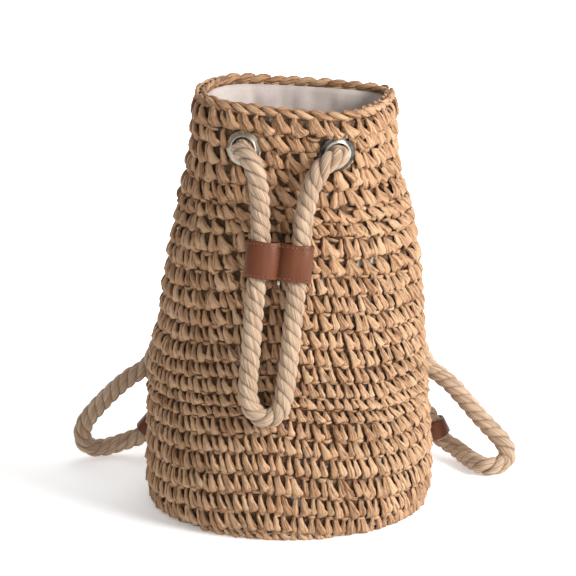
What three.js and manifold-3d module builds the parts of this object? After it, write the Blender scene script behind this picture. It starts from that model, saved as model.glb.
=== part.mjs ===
// A woven straw backpack: a crocheted straw bag with a plaited rim and a cotton lining,
// gathered by a thick three-strand rope that runs through metal eyelets. In front the rope
// hangs as one long loop held by a leather keeper, and at the back it makes two shoulder
// straps that lie on the floor beside the bag.
// Millimetres, +Z up, front towards -Y, origin at the middle of the base on the floor.

import * as THREE from 'three';
import { mergeVertices } from 'three/addons/utils/BufferGeometryUtils.js';
import Module from 'manifold-3d';

// The straw bag
const bagHeight = 293;          // floor to the top of the plaited rim, in the middle
const baseHalfWidth = 101;      // widest, near the floor
const baseHalfDepth = 96;
const mouthHalfWidth = 70;
const mouthHalfDepth = 58;
const mouthLean = 4;            // the slack mouth stands this far to the right
const strawThickness = 7;       // wall of crocheted paper straw
const strawBaseThickness = 7;
const ribDepth = 2.4;           // each row of stitches stands out this far
const baseEdgeRadius = 3.5;

// The plaited rim
const rimHeight = 7.6;
const rimThickness = 6.8;
const rimLinkLength = 12;
const rimInset = 2.5;           // the plait stands in from the outside of the straw
const rimDip = 1.3;             // how far the plait narrows between two links

// The cotton lining
const liningThickness = 1.2;
const liningGap = 0.4;

// The rope and its eyelets
const ropeDiameter = 13.6;
const ropeGap = 0.9;            // play between the rope and an eyelet's bore
const eyeletFlangeRadius = 12.6;
const eyeletBarrelWall = 0.9;
const eyeletSeatDepth = 1.6;    // the flange is pressed this far into the straw
const eyeletLipHeight = 2.4;
const eyeletPlateThickness = 1.2;
const frontEyeletDrop = 29.4;     // upper eyelets below the top of the rim
const backEyeletDrop = 38;
const frontEyeletLeft = 30.6;    // from the bag's middle plane
const frontEyeletRight = 32.2;
const backEyeletSpacing = 60;
const lowEyeletHeight = 46;
const lowEyeletSpacing = 124;

// Leather
const leatherThickness = 1.6;
const keeperWidth = 45;
const keeperHeight = 24.8;
const keeperPlay = 1.2;         // play between the rope and the keeper, front to back
const keeperWaist = 7;          // thickness of the sewn seam between its two tubes
const sleeveLength = 12.5;
const sleevePlay = 0.75;
const sleeveFlap = 8;           // sewn ends of the leather that wraps round the strap

const meshGap = 0.3;            // left between pieces that touch

// How the bag's sides go in from the base to the mouth, as the left and right sides of the
// photograph show it. Level is a share of the bag's height. The other columns are shares of
// the way from the mouth's half size (0) to the base's half size (1).
const sections = [
  { level: 0.00, left: 0.86, right: 0.82, deep: 0.87 },
  { level: 0.02, left: 0.94, right: 0.92, deep: 0.94 },
  { level: 0.05, left: 1.00, right: 1.00, deep: 1.00 },
  { level: 0.12, left: 1.00, right: 1.00, deep: 1.00 },
  { level: 0.24, left: 0.97, right: 0.90, deep: 0.89 },
  { level: 0.34, left: 0.94, right: 0.83, deep: 0.77 },
  { level: 0.42, left: 0.86, right: 0.77, deep: 0.66 },
  { level: 0.48, left: 0.69, right: 0.73, deep: 0.58 },
  { level: 0.54, left: 0.64, right: 0.69, deep: 0.53 },
  { level: 0.61, left: 0.53, right: 0.63, deep: 0.45 },
  { level: 0.70, left: 0.39, right: 0.48, deep: 0.34 },
  { level: 0.78, left: 0.24, right: 0.26, deep: 0.22 },
  { level: 0.87, left: 0.12, right: 0.07, deep: 0.12 },
  { level: 1.00, left: 0.00, right: 0.00, deep: 0.00 },
];

// The slack mouth, seen from above, is a six-cornered ring. Across and along are shares of
// the mouth's half width and half depth, in order round the ring from the right corner.
const mouthCorners = [
  { across: 1.02, along: 0.36 },
  { across: 0.90, along: 0.90 },
  { across: -0.67, along: 0.93 },
  { across: -1.00, along: -0.30 },
  { across: -0.74, along: -0.90 },
  { across: 0.50, along: -1.10 },
];
const mouthStartLevel = 0.72;   // the sides begin to take the mouth's corners here

// Rows of stitches from the floor up. Height is a share of the bag's height for each row.
const rowBands = [
  { rows: 1, height: 0.029 },
  { rows: 4, height: 0.0475 },
  { rows: 2, height: 0.0415 },
  { rows: 2, height: 0.028 },
  { rows: 2, height: 0.0365 },
  { rows: 7, height: 0.0415 },
  { rows: 2, height: 0.0305 },
  { rows: 3, height: 0.0395 },
  { rows: 2, height: 0.034 },
];

// Rows are not level: slope is how much they rise towards the right.
const rowSlopes = [
  { level: 0.00, slope: 0.000 },
  { level: 0.14, slope: 0.072 },
  { level: 0.38, slope: 0.068 },
  { level: 0.72, slope: 0.000 },
  { level: 1.00, slope: -0.066 },
];

// Value of one column of a table at a level, eased from row to row of the table.
function readTable(table, column, level) {
  const last = table.length - 1;
  if (level <= table[0].level) return table[0][column];
  if (level >= table[last].level) return table[last][column];
  let row = 0;
  while (level > table[row + 1].level) row += 1;
  const share = (level - table[row].level) / (table[row + 1].level - table[row].level);
  return THREE.MathUtils.lerp(table[row][column], table[row + 1][column], share);
}

// The mouth's outline as a distance from the bag's axis in each direction.
const mouthCurve = new THREE.CatmullRomCurve3(
  mouthCorners.map((corner) => new THREE.Vector3(
    mouthLean + corner.across * mouthHalfWidth, corner.along * mouthHalfDepth, 0)),
  true, 'catmullrom', 0.45);
const mouthOutline = mouthCurve.getPoints(180).slice(0, 180)
  .map((point) => ({ angle: Math.atan2(point.y, point.x), radius: Math.hypot(point.x, point.y) }))
  .sort((one, other) => one.angle - other.angle);

function mouthRadius(angle) {
  const wrapped = Math.atan2(Math.sin(angle), Math.cos(angle));
  const count = mouthOutline.length;
  let next = mouthOutline.findIndex((point) => point.angle > wrapped);
  if (next === -1) next = 0;
  const before = mouthOutline[(next + count - 1) % count];
  const after = mouthOutline[next];
  const span = THREE.MathUtils.euclideanModulo(after.angle - before.angle, 2 * Math.PI);
  const share = THREE.MathUtils.euclideanModulo(wrapped - before.angle, 2 * Math.PI) / span;
  return THREE.MathUtils.lerp(before.radius, after.radius, share);
}

// Outer radius of the bag in one direction at one level: an oval low down, the slack
// mouth's outline at the top.
function bagRadius(angle, level) {
  const towardsRight = Math.cos(angle) > 0;
  const mouthSide = mouthHalfWidth + (towardsRight ? mouthLean : -mouthLean);
  const side = readTable(sections, towardsRight ? 'right' : 'left', level);
  const halfWidth = THREE.MathUtils.lerp(mouthSide, baseHalfWidth, side);
  const deep = readTable(sections, 'deep', level);
  const halfDepth = THREE.MathUtils.lerp(mouthHalfDepth, baseHalfDepth, deep);
  const oval = 1 / Math.hypot(Math.cos(angle) / halfWidth, Math.sin(angle) / halfDepth);
  const slack = THREE.MathUtils.smoothstep(level, mouthStartLevel, 1);
  return THREE.MathUtils.lerp(oval, mouthRadius(angle), slack);
}

// A point on the bag, or inset from its outer face. Height is measured on the bag's axis,
// and the rows' slope carries the point up or down from there.
function bagPoint(angle, height, inset) {
  const level = height / bagHeight;
  const radius = bagRadius(angle, level) - inset;
  const x = radius * Math.cos(angle);
  const y = radius * Math.sin(angle);
  return new THREE.Vector3(x, y, height + readTable(rowSlopes, 'slope', level) * x);
}

const ringSteps = 32;

// A closed solid from rings of points. Each ring is { height, inset } or one point on the
// axis, { height, centre: true }, and the rings run from one end of the skin to the other.
function solidFromRings(rings) {
  const positions = [];
  const starts = [];
  for (const ring of rings) {
    starts.push(positions.length / 3);
    if (ring.centre) {
      positions.push(0, 0, ring.height);
      continue;
    }
    for (let step = 0; step < ringSteps; step += 1) {
      const point = bagPoint((2 * Math.PI * step) / ringSteps, ring.height, ring.inset);
      positions.push(point.x, point.y, point.z);
    }
  }
  const triangles = [];
  for (let ring = 0; ring + 1 < rings.length; ring += 1) {
    for (let step = 0; step < ringSteps; step += 1) {
      const next = (step + 1) % ringSteps;
      const lower = starts[ring];
      const upper = starts[ring + 1];
      if (rings[ring].centre) {
        triangles.push(lower, upper + next, upper + step);
      } else if (rings[ring + 1].centre) {
        triangles.push(lower + step, lower + next, upper);
      } else if (rings[ring + 1].height >= rings[ring].height) {
        triangles.push(lower + step, lower + next, upper + next);
        triangles.push(lower + step, upper + next, upper + step);
      } else {
        // The same diagonal on the way down, so that two skins with a thin gap don't cross.
        triangles.push(lower + step, lower + next, upper + step);
        triangles.push(lower + next, upper + next, upper + step);
      }
    }
  }
  const geometry = new THREE.BufferGeometry();
  geometry.setAttribute('position', new THREE.Float32BufferAttribute(positions, 3));
  geometry.setIndex(triangles);
  return geometry;
}

// Joining and cutting
const wasm = await Module();
wasm.setup();

function toManifold(geometry) {
  const bare = geometry.clone();
  bare.deleteAttribute('normal');
  bare.deleteAttribute('uv');
  const merged = mergeVertices(bare, 1e-4);
  return new wasm.Manifold(new wasm.Mesh({
    numProp: 3,
    vertProperties: new Float32Array(merged.getAttribute('position').array),
    triVerts: new Uint32Array(merged.getIndex().array),
  }));
}

function fromManifold(solid) {
  const mesh = solid.getMesh();
  const geometry = new THREE.BufferGeometry();
  geometry.setAttribute('position', new THREE.BufferAttribute(mesh.vertProperties, 3));
  geometry.setIndex(new THREE.BufferAttribute(mesh.triVerts, 1));
  return geometry;
}

// Materials
const straw = new THREE.MeshStandardMaterial({ color: 0xba966c, roughness: 0.85 });
const strawEdge = new THREE.MeshStandardMaterial({ color: 0xb08c62, roughness: 0.85 });
const cotton = new THREE.MeshStandardMaterial({ color: 0xd8cfca, roughness: 0.95 });
const rope = new THREE.MeshStandardMaterial({ color: 0xcdb496, roughness: 0.9 });
const leather = new THREE.MeshStandardMaterial({ color: 0x7d4128, roughness: 0.5 });
const pewter = new THREE.MeshStandardMaterial({ color: 0x77736b, roughness: 0.35, metalness: 1 });

const bag = new THREE.Group();

function addPiece(name, geometry, material) {
  const mesh = new THREE.Mesh(geometry, material);
  mesh.name = name;
  bag.add(mesh);
  return mesh;
}

// Where an eyelet sits on the bag's wall: its middle on the seat, and the way it faces.
function wallSeat(x, height, towardsBack) {
  let low = towardsBack ? 0 : -Math.PI;
  let high = towardsBack ? Math.PI : 0;
  for (let round = 0; round < 40; round += 1) {
    const middle = (low + high) / 2;
    const tooFarRight = bagPoint(middle, height, 0).x > x;
    if (tooFarRight === towardsBack) low = middle;
    else high = middle;
  }
  const angle = (low + high) / 2;
  const reach = eyeletFlangeRadius / bagRadius(angle, height / bagHeight);
  const along = bagPoint(angle + reach, height, 0).sub(bagPoint(angle - reach, height, 0));
  const up = bagPoint(angle, height + eyeletFlangeRadius, 0)
    .sub(bagPoint(angle, height - eyeletFlangeRadius, 0));
  const outward = along.cross(up).normalize();
  const middle = bagPoint(angle, height, 0).addScaledVector(outward, -eyeletSeatDepth);
  return { middle, outward };
}

const frontEyeletHeight = bagHeight - frontEyeletDrop;
const backEyeletHeight = bagHeight - backEyeletDrop;
const eyeletSeats = [
  { name: 'eyelet_front_left', ...wallSeat(-frontEyeletLeft, frontEyeletHeight, false) },
  { name: 'eyelet_front_right', ...wallSeat(frontEyeletRight, frontEyeletHeight, false) },
  { name: 'eyelet_back_left', ...wallSeat(-backEyeletSpacing / 2, backEyeletHeight, true) },
  { name: 'eyelet_back_right', ...wallSeat(backEyeletSpacing / 2, backEyeletHeight, true) },
  { name: 'eyelet_low_left', ...wallSeat(-lowEyeletSpacing / 2, lowEyeletHeight, true) },
  { name: 'eyelet_low_right', ...wallSeat(lowEyeletSpacing / 2, lowEyeletHeight, true) },
];

// Turns a shape that was made along +Y round the seat's middle to face outward.
function seatOn(geometry, seat) {
  const turn = new THREE.Quaternion().setFromUnitVectors(new THREE.Vector3(0, 1, 0), seat.outward);
  geometry.applyQuaternion(turn);
  geometry.translate(seat.middle.x, seat.middle.y, seat.middle.z);
  return geometry;
}

const boreRadius = ropeDiameter / 2 + ropeGap;
const barrelRadius = boreRadius + eyeletBarrelWall;
const eyeletSides = 14;

function eyeletHoles(solid, withSeat) {
  let cut = solid;
  for (const seat of eyeletSeats) {
    const holeLength = 4 * (strawThickness + liningThickness);
    const hole = new THREE.CylinderGeometry(
      barrelRadius + meshGap, barrelRadius + meshGap, holeLength, eyeletSides);
    cut = cut.subtract(toManifold(seatOn(hole, seat)));
    if (withSeat) {
      const pressed = new THREE.CylinderGeometry(
        eyeletFlangeRadius + meshGap, eyeletFlangeRadius + meshGap, strawThickness, eyeletSides);
      pressed.translate(0, strawThickness / 2 - meshGap, 0);
      cut = cut.subtract(toManifold(seatOn(pressed, seat)));
    }
  }
  return cut;
}

// Straw bag: base and wall are crocheted in one piece
const strawTop = bagHeight - rimHeight;
const strawRings = [
  { height: 0, centre: true },
  { height: 0, inset: baseEdgeRadius },
  { height: baseEdgeRadius * 0.13, inset: baseEdgeRadius * 0.5 },
];
let rowFoot = 0;
for (const band of rowBands) {
  for (let row = 0; row < band.rows; row += 1) {
    const rowHeight = band.height * bagHeight;
    strawRings.push({ height: rowFoot + 0.42 * rowHeight, inset: 0 });
    rowFoot += rowHeight;
    const isTop = rowFoot > strawTop - rowHeight / 2;
    strawRings.push({ height: isTop ? strawTop : rowFoot, inset: ribDepth });
  }
}
const innerLevels = [1, 0.88, 0.76, 0.6, 0.4, 0.15];
const innerHeights = innerLevels
  .map((share) => THREE.MathUtils.lerp(strawBaseThickness, strawTop, share));
const floorInset = baseEdgeRadius / 3;   // the inner corner of the base is eased by this
for (const height of innerHeights) {
  strawRings.push({ height, inset: strawThickness });
}
strawRings.push({ height: strawBaseThickness, inset: strawThickness + floorInset });
strawRings.push({ height: strawBaseThickness, centre: true });
addPiece('straw_bag', fromManifold(eyeletHoles(toManifold(solidFromRings(strawRings)), true)), straw);

// Cotton lining: an open bag that follows the inside of the straw
const liningOuter = strawThickness + liningGap;
const liningInner = liningOuter + liningThickness;
const liningFloor = strawBaseThickness + liningGap;
const liningRings = [
  { height: liningFloor, centre: true },
  { height: liningFloor, inset: liningOuter + floorInset },
];
for (const height of [...innerHeights].reverse()) {
  liningRings.push({ height, inset: liningOuter });
}
for (const height of innerHeights) {
  liningRings.push({ height, inset: liningInner });
}
liningRings.push({ height: liningFloor + liningThickness, inset: liningInner + floorInset });
liningRings.push({ height: liningFloor + liningThickness, centre: true });
addPiece('cotton_lining', fromManifold(eyeletHoles(toManifold(solidFromRings(liningRings)), false)), cotton);

// Plaited rim: a round of chain stitches, thick in the middle of each link
const rimMiddleInset = rimInset + rimThickness / 2;
const rimLength = mouthCurve.getLength();
const rimLinks = Math.round(rimLength / rimLinkLength);
const rimSteps = rimLinks * 2;
const rimSides = 6;
const rimPositions = [];
const rimTriangles = [];
for (let step = 0; step < rimSteps; step += 1) {
  const dip = step % 2 === 0 ? 0 : rimDip;
  const angle = (2 * Math.PI * step) / rimSteps;
  for (let side = 0; side < rimSides; side += 1) {
    const turn = (2 * Math.PI * (side + 0.5)) / rimSides;
    const flat = 1 / Math.sin((Math.PI * 2) / 3);
    const inset = rimMiddleInset - flat * (rimThickness / 2 - dip / 2) * Math.cos(turn);
    const middle = strawTop + meshGap + (rimHeight - meshGap) / 2;
    const rise = flat * ((rimHeight - meshGap) / 2 - dip / 2) * Math.sin(turn);
    const point = bagPoint(angle, middle, inset);
    rimPositions.push(point.x, point.y, point.z + Math.max(rise, -(rimHeight - meshGap) / 2));
  }
}
for (let step = 0; step < rimSteps; step += 1) {
  const nextStep = (step + 1) % rimSteps;
  for (let side = 0; side < rimSides; side += 1) {
    const nextSide = (side + 1) % rimSides;
    const here = step * rimSides + side;
    const above = step * rimSides + nextSide;
    const ahead = nextStep * rimSides + side;
    const aheadAbove = nextStep * rimSides + nextSide;
    rimTriangles.push(here, ahead, aheadAbove);
    rimTriangles.push(here, aheadAbove, above);
  }
}
const rimGeometry = new THREE.BufferGeometry();
rimGeometry.setAttribute('position', new THREE.Float32BufferAttribute(rimPositions, 3));
rimGeometry.setIndex(rimTriangles);
addPiece('rim_plait', rimGeometry, strawEdge);

// Eyelets: a wide flange with a rolled lip, a barrel through the wall and a washer inside
const stackThickness = strawThickness - eyeletSeatDepth + liningGap + liningThickness;
const washerReach = eyeletFlangeRadius - 2.6;
const washerRelief = 4.1;       // the wall is hollow inside, so the washer's edge meets it first
const washerTop = -(stackThickness + washerRelief);
const washerFoot = washerTop - eyeletPlateThickness;
const eyeletProfile = [
  [boreRadius, washerFoot],
  [washerReach, washerFoot],
  [washerReach, washerTop],
  [barrelRadius, washerTop],
  [barrelRadius, 0],
  [eyeletFlangeRadius, 0],
  [eyeletFlangeRadius - 0.8, eyeletPlateThickness],
  [barrelRadius + 1.6, eyeletPlateThickness],
  [barrelRadius + 0.6, eyeletLipHeight],
  [boreRadius, eyeletLipHeight - 0.6],
  [boreRadius, washerFoot],
].map(([radius, along]) => new THREE.Vector2(radius, along));
for (const seat of eyeletSeats) {
  addPiece(seat.name, seatOn(new THREE.LatheGeometry(eyeletProfile, eyeletSides), seat), pewter);
}

// Rope routes: points chosen by hand along the rope's middle, closer together in its bends,
// between ends that lie on the eyelets' axes. The rope is one length. Its runs meet inside
// the eyelets.
const ropeMeeting = -3;         // from the eyelet's seat, along its axis

function seatOf(name) {
  return eyeletSeats.find((seat) => seat.name === name);
}

function onAxis(name, along) {
  const seat = seatOf(name);
  return seat.middle.clone().addScaledVector(seat.outward, along);
}

function byHand(points) {
  return points.map(([x, y, z]) => new THREE.Vector3(x, y, z));
}

const keeperRuns = {
  leftTop: new THREE.Vector3(-18.8, -79.5, 207.2),
  leftFoot: new THREE.Vector3(-21.5, -84.5, 180.7),
  rightTop: new THREE.Vector3(8.3, -80.5, 207.2),
  rightFoot: new THREE.Vector3(5, -85.5, 180.7),
};

const frontLoopRoute = [
  onAxis('eyelet_front_left', ropeMeeting),
  onAxis('eyelet_front_left', 2.5),
  onAxis('eyelet_front_left', 6.5),
  ...byHand([
    [-27.4, -72, 262.5],
    [-23.6, -76.3, 256.5],
    [-20.8, -77.3, 247.5],
    [-19.3, -76.5, 234],
    [-19, -77, 219.5],
  ]),
  keeperRuns.leftTop,
  keeperRuns.leftTop.clone().lerp(keeperRuns.leftFoot, 0.5),
  keeperRuns.leftFoot,
  ...byHand([
    [-22.8, -84.8, 166],
    [-24.2, -85, 151],
    [-25.5, -87.5, 132],
    [-27, -90, 117],
    [-27.2, -92.5, 104],
    [-24, -95, 94],
    [-15.5, -97, 89],
    [-7, -96.5, 93.5],
    [-3.4, -94.5, 104],
    [-1.5, -92, 117],
    [0.5, -89.5, 133],
    [2.4, -87, 151],
    [4, -86, 166],
  ]),
  keeperRuns.rightFoot,
  keeperRuns.rightTop.clone().lerp(keeperRuns.rightFoot, 0.5),
  keeperRuns.rightTop,
  ...byHand([
    [9.6, -78.5, 220.5],
    [12, -78.5, 233.5],
    [15.5, -79.3, 245.5],
    [20.3, -79.6, 254.5],
    [25.4, -77.4, 259.8],
  ]),
  onAxis('eyelet_front_right', 6.5),
  onAxis('eyelet_front_right', 2.5),
  onAxis('eyelet_front_right', ropeMeeting),
];

const innerLeftRoute = [
  onAxis('eyelet_front_left', ropeMeeting - meshGap),
  onAxis('eyelet_front_left', -14.5),
  ...byHand([
    [-28, -36.5, 266],
    [-36, -27.5, 264],
    [-43, -15, 262],
    [-45.5, 0, 261],
    [-42.5, 15.5, 258.5],
    [-35, 27, 255.5],
    [-27.5, 36, 254.6],
  ]),
  onAxis('eyelet_back_left', -14.5),
  onAxis('eyelet_back_left', ropeMeeting - meshGap),
];

const innerRightRoute = [
  onAxis('eyelet_front_right', ropeMeeting - meshGap),
  onAxis('eyelet_front_right', -14.5),
  ...byHand([
    [28, -42.5, 264.5],
    [36.5, -32, 262.5],
    [45.5, -17, 261],
    [49, 0, 260.5],
    [46, 12, 258],
    [37, 24, 254.5],
    [28, 33.5, 252.8],
  ]),
  onAxis('eyelet_back_right', -14.5),
  onAxis('eyelet_back_right', ropeMeeting - meshGap),
];

// The end of each strap that passes through its leather sleeve is straight there.
const leftSleeve = {
  outer: new THREE.Vector3(-108.2, 83.3, 17.1),
  inner: new THREE.Vector3(-97.8, 82.7, 29.7),
};
const rightSleeve = {
  outer: new THREE.Vector3(113.2, 80, 15.2),
  inner: new THREE.Vector3(106, 80.5, 29.8),
};

const leftStrapRoute = [
  onAxis('eyelet_back_left', ropeMeeting),
  onAxis('eyelet_back_left', 2.5),
  onAxis('eyelet_back_left', 8.5),
  ...byHand([
    [-32.8, 75, 250.5],
    [-36, 76.5, 240],
    [-43, 74, 225],
    [-55, 71, 190],
    [-69, 69.5, 155],
    [-84, 70, 118],
    [-95, 71, 92],
    [-104, 72, 74],
    [-116.3, 72, 65.8],
    [-127.1, 72, 57],
    [-136.2, 72, 48],
    [-144, 72, 39.5],
    [-150.3, 73, 31],
    [-153.5, 74, 22],
    [-152.3, 76, 13],
    [-146, 79, 7.8],
    [-137, 82, 7.2],
    [-128.5, 84, 9],
    [-118.5, 84.2, 12.4],
  ]),
  leftSleeve.outer,
  leftSleeve.inner,
  ...byHand([
    [-88.5, 83, 38],
    [-76, 85, 42],
  ]),
  onAxis('eyelet_low_left', 9),
  onAxis('eyelet_low_left', 2.5),
  onAxis('eyelet_low_left', ropeMeeting),
];

const rightStrapRoute = [
  onAxis('eyelet_back_right', ropeMeeting),
  onAxis('eyelet_back_right', 2.5),
  onAxis('eyelet_back_right', 8.5),
  ...byHand([
    [34, 74, 249],
    [37.5, 75.5, 238.5],
    [43, 70.5, 225],
    [56, 71, 190],
    [70, 71, 155],
    [84, 72, 118],
    [94, 72, 94],
    [102.5, 71.5, 74.5],
    [110, 70, 68.3],
    [118.6, 67, 62],
    [125.5, 64, 55],
    [132.3, 60, 48],
    [139.2, 56, 40.5],
    [146, 52.5, 33.8],
    [152.8, 49, 27.5],
    [158.3, 47, 20.5],
    [160.3, 46.5, 13.5],
    [157.5, 45, 8.3],
    [151.3, 40.5, 7.2],
    [144, 39, 7.1],
    [137, 48.5, 7.1],
    [130.5, 62, 7.3],
    [123.5, 74.5, 9.5],
  ]),
  rightSleeve.outer,
  rightSleeve.inner,
  ...byHand([
    [98, 83, 40],
    [87, 87, 47],
    [75.5, 88, 50.5],
  ]),
  onAxis('eyelet_low_right', 9),
  onAxis('eyelet_low_right', 2.5),
  onAxis('eyelet_low_right', ropeMeeting),
];

// A smooth curve whose even steps fall on the chosen points.
class RopeRoute extends THREE.CatmullRomCurve3 {
  getUtoTmapping(share) {
    return share;
  }
}

const ropeSides = 8;
const ropeSection = new THREE.Shape();
for (let side = 0; side < ropeSides; side += 1) {
  const turn = (2 * Math.PI * side) / ropeSides;
  const x = (ropeDiameter / 2) * Math.cos(turn);
  const y = (ropeDiameter / 2) * Math.sin(turn);
  if (side === 0) ropeSection.moveTo(x, y);
  else ropeSection.lineTo(x, y);
}
ropeSection.closePath();

const ropeRuns = [
  { name: 'rope_front_loop', route: frontLoopRoute },
  { name: 'rope_inside_left', route: innerLeftRoute },
  { name: 'rope_inside_right', route: innerRightRoute },
  { name: 'rope_strap_left', route: leftStrapRoute },
  { name: 'rope_strap_right', route: rightStrapRoute },
];
for (const run of ropeRuns) {
  const geometry = new THREE.ExtrudeGeometry(ropeSection, {
    steps: run.route.length - 1,
    extrudePath: new RopeRoute(run.route),
  });
  addPiece(run.name, geometry, rope);
}

// A closed outline of a rounded box, for the leather's section.
function roundedOutline(centre, halfWidth, halfDepth, boxiness, count) {
  const points = [];
  for (let step = 0; step < count; step += 1) {
    const turn = (2 * Math.PI * step) / count;
    const across = Math.sign(Math.cos(turn)) * Math.abs(Math.cos(turn)) ** (2 / boxiness);
    const along = Math.sign(Math.sin(turn)) * Math.abs(Math.sin(turn)) ** (2 / boxiness);
    points.push(new THREE.Vector2(centre + halfWidth * across, halfDepth * along));
  }
  return points;
}

// Stands a section's extrusion on its axis, with its width along the across direction.
function standAlong(geometry, middle, axis, across) {
  const up = axis.clone().normalize();
  const depth = up.clone().cross(across).normalize();
  const side = depth.clone().cross(up).normalize();
  geometry.applyMatrix4(new THREE.Matrix4().makeBasis(side, depth, up));
  geometry.translate(middle.x, middle.y, middle.z);
  return geometry;
}

// Front keeper: a strap of leather sewn into two tubes side by side
const tubeHalfWidth = keeperWidth / 4;
const tubeHalfDepth = ropeDiameter / 2 + keeperPlay + leatherThickness;
const tubeBoxiness = 2.3;
const keeperSteps = 20;
const keeperOutline = [];
for (const facing of [-1, 1]) {
  for (let step = 0; step <= keeperSteps; step += 1) {
    const across = facing * THREE.MathUtils.lerp(-1, 1, step / keeperSteps) * (keeperWidth / 2);
    const share = Math.abs(Math.abs(across) - tubeHalfWidth) / tubeHalfWidth;
    const bulge = tubeHalfDepth * (1 - Math.min(share, 1) ** tubeBoxiness) ** (1 / tubeBoxiness);
    const nearSide = Math.abs(across) > tubeHalfWidth;
    const half = nearSide ? bulge : Math.max(bulge, keeperWaist / 2);
    if (nearSide && half < 0.01 && facing === 1) continue;
    keeperOutline.push(new THREE.Vector2(across, facing * half));
  }
}
const keeperShape = new THREE.Shape(keeperOutline);
for (const side of [-1, 1]) {
  keeperShape.holes.push(new THREE.Path(roundedOutline(
    side * tubeHalfWidth, tubeHalfWidth - leatherThickness, tubeHalfDepth - leatherThickness,
    tubeBoxiness, 12)));
}
const keeperGeometry = new THREE.ExtrudeGeometry(keeperShape, {
  depth: keeperHeight,
  bevelEnabled: false,
});
keeperGeometry.translate(0, 0, -keeperHeight / 2);
const keeperLeft = keeperRuns.leftTop.clone().lerp(keeperRuns.leftFoot, 0.5);
const keeperRight = keeperRuns.rightTop.clone().lerp(keeperRuns.rightFoot, 0.5);
const keeperAxis = keeperRuns.leftTop.clone().sub(keeperRuns.leftFoot);
standAlong(
  keeperGeometry, keeperLeft.clone().lerp(keeperRight, 0.5), keeperAxis,
  keeperRight.clone().sub(keeperLeft));
addPiece('front_keeper', keeperGeometry, leather);

// Strap sleeves: leather wrapped once round the rope, its two ends sewn flat together
const sleeveBore = ropeDiameter / 2 + sleevePlay;
const sleeveRadius = sleeveBore + leatherThickness;
const sleeveSides = 12;
const sleeveOutline = [];
const flapTurn = Math.asin(leatherThickness / sleeveRadius);
for (let step = 0; step <= sleeveSides; step += 1) {
  const turn = THREE.MathUtils.lerp(flapTurn, 2 * Math.PI - flapTurn, step / sleeveSides);
  sleeveOutline.push(new THREE.Vector2(sleeveRadius * Math.cos(turn), sleeveRadius * Math.sin(turn)));
}
sleeveOutline.push(new THREE.Vector2(sleeveRadius + sleeveFlap, -leatherThickness));
sleeveOutline.push(new THREE.Vector2(sleeveRadius + sleeveFlap, leatherThickness));
const sleeves = [
  { name: 'strap_sleeve_left', ends: leftSleeve, flapTowards: new THREE.Vector3(0.4, 0.2, -0.4) },
  { name: 'strap_sleeve_right', ends: rightSleeve, flapTowards: new THREE.Vector3(-0.7, 0, -0.4) },
];
for (const sleeve of sleeves) {
  const shape = new THREE.Shape(sleeveOutline);
  shape.holes.push(new THREE.Path(roundedOutline(0, sleeveBore, sleeveBore, 2, sleeveSides)));
  const geometry = new THREE.ExtrudeGeometry(shape, { depth: sleeveLength, bevelEnabled: false });
  geometry.translate(0, 0, -sleeveLength / 2);
  const middle = sleeve.ends.outer.clone().lerp(sleeve.ends.inner, 0.5);
  const axis = sleeve.ends.inner.clone().sub(sleeve.ends.outer);
  addPiece(sleeve.name, standAlong(geometry, middle, axis, sleeve.flapTowards), leather);
}

export default bag;
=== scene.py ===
import math
import random

import bpy
from mathutils import Matrix, Vector, noise


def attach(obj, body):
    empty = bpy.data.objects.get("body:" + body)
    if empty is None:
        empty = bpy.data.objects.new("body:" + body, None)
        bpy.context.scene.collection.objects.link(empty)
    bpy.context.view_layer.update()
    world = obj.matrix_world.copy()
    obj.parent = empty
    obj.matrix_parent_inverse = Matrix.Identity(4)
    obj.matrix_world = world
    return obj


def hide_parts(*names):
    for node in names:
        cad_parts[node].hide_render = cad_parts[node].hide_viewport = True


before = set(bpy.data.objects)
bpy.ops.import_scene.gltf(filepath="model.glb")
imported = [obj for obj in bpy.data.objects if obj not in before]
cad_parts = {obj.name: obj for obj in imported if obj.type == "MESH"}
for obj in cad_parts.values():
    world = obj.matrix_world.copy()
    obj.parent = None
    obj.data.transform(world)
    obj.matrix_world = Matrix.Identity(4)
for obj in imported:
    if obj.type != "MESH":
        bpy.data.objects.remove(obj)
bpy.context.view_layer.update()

mm = 0.001


# Camera
# The photograph was taken from the front, 1.7 m away and about 15 degrees above the
# middle of the bag, with a long lens.
camera_distance = 1.7
camera_pitch = math.radians(15.4)
camera_target = Vector((-0.0007, 0.0, 0.153))


def bring_in(name, data):
    """Adds an object to the scene. A piece has its place in its mesh, so it stays unmoved."""
    item = bpy.data.objects.new(name, data)
    bpy.context.scene.collection.objects.link(item)
    return item


camera_data = bpy.data.cameras.new("photo_camera")
camera_data.sensor_width = 36.0
camera_data.lens = 151.8
camera = bring_in("photo_camera", camera_data)
camera.location = camera_target + camera_distance * Vector(
    (0.0, -math.cos(camera_pitch), math.sin(camera_pitch)))
camera.rotation_euler = (math.pi / 2 - camera_pitch, 0.0, 0.0)
bpy.context.scene.camera = camera


# Rope
# One thick rope of pale jute and cotton, three strands laid left-handed round each other.
# It runs through the eyelets, hangs in front as one loop and makes the two shoulder straps.
rope_thickness = 13.6
rope_diameter = rope_thickness * mm
strand_share = 0.252
rope_point_gap = 1.3 * mm
rope_colour = (0.285, 0.178, 0.105, 1.0)
rope_shadow_colour = (0.115, 0.055, 0.024, 1.0)
rope_pale_colour = (0.58, 0.42, 0.288, 1.0)
rope_patch_colour = (0.42, 0.29, 0.19, 1.0)

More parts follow.
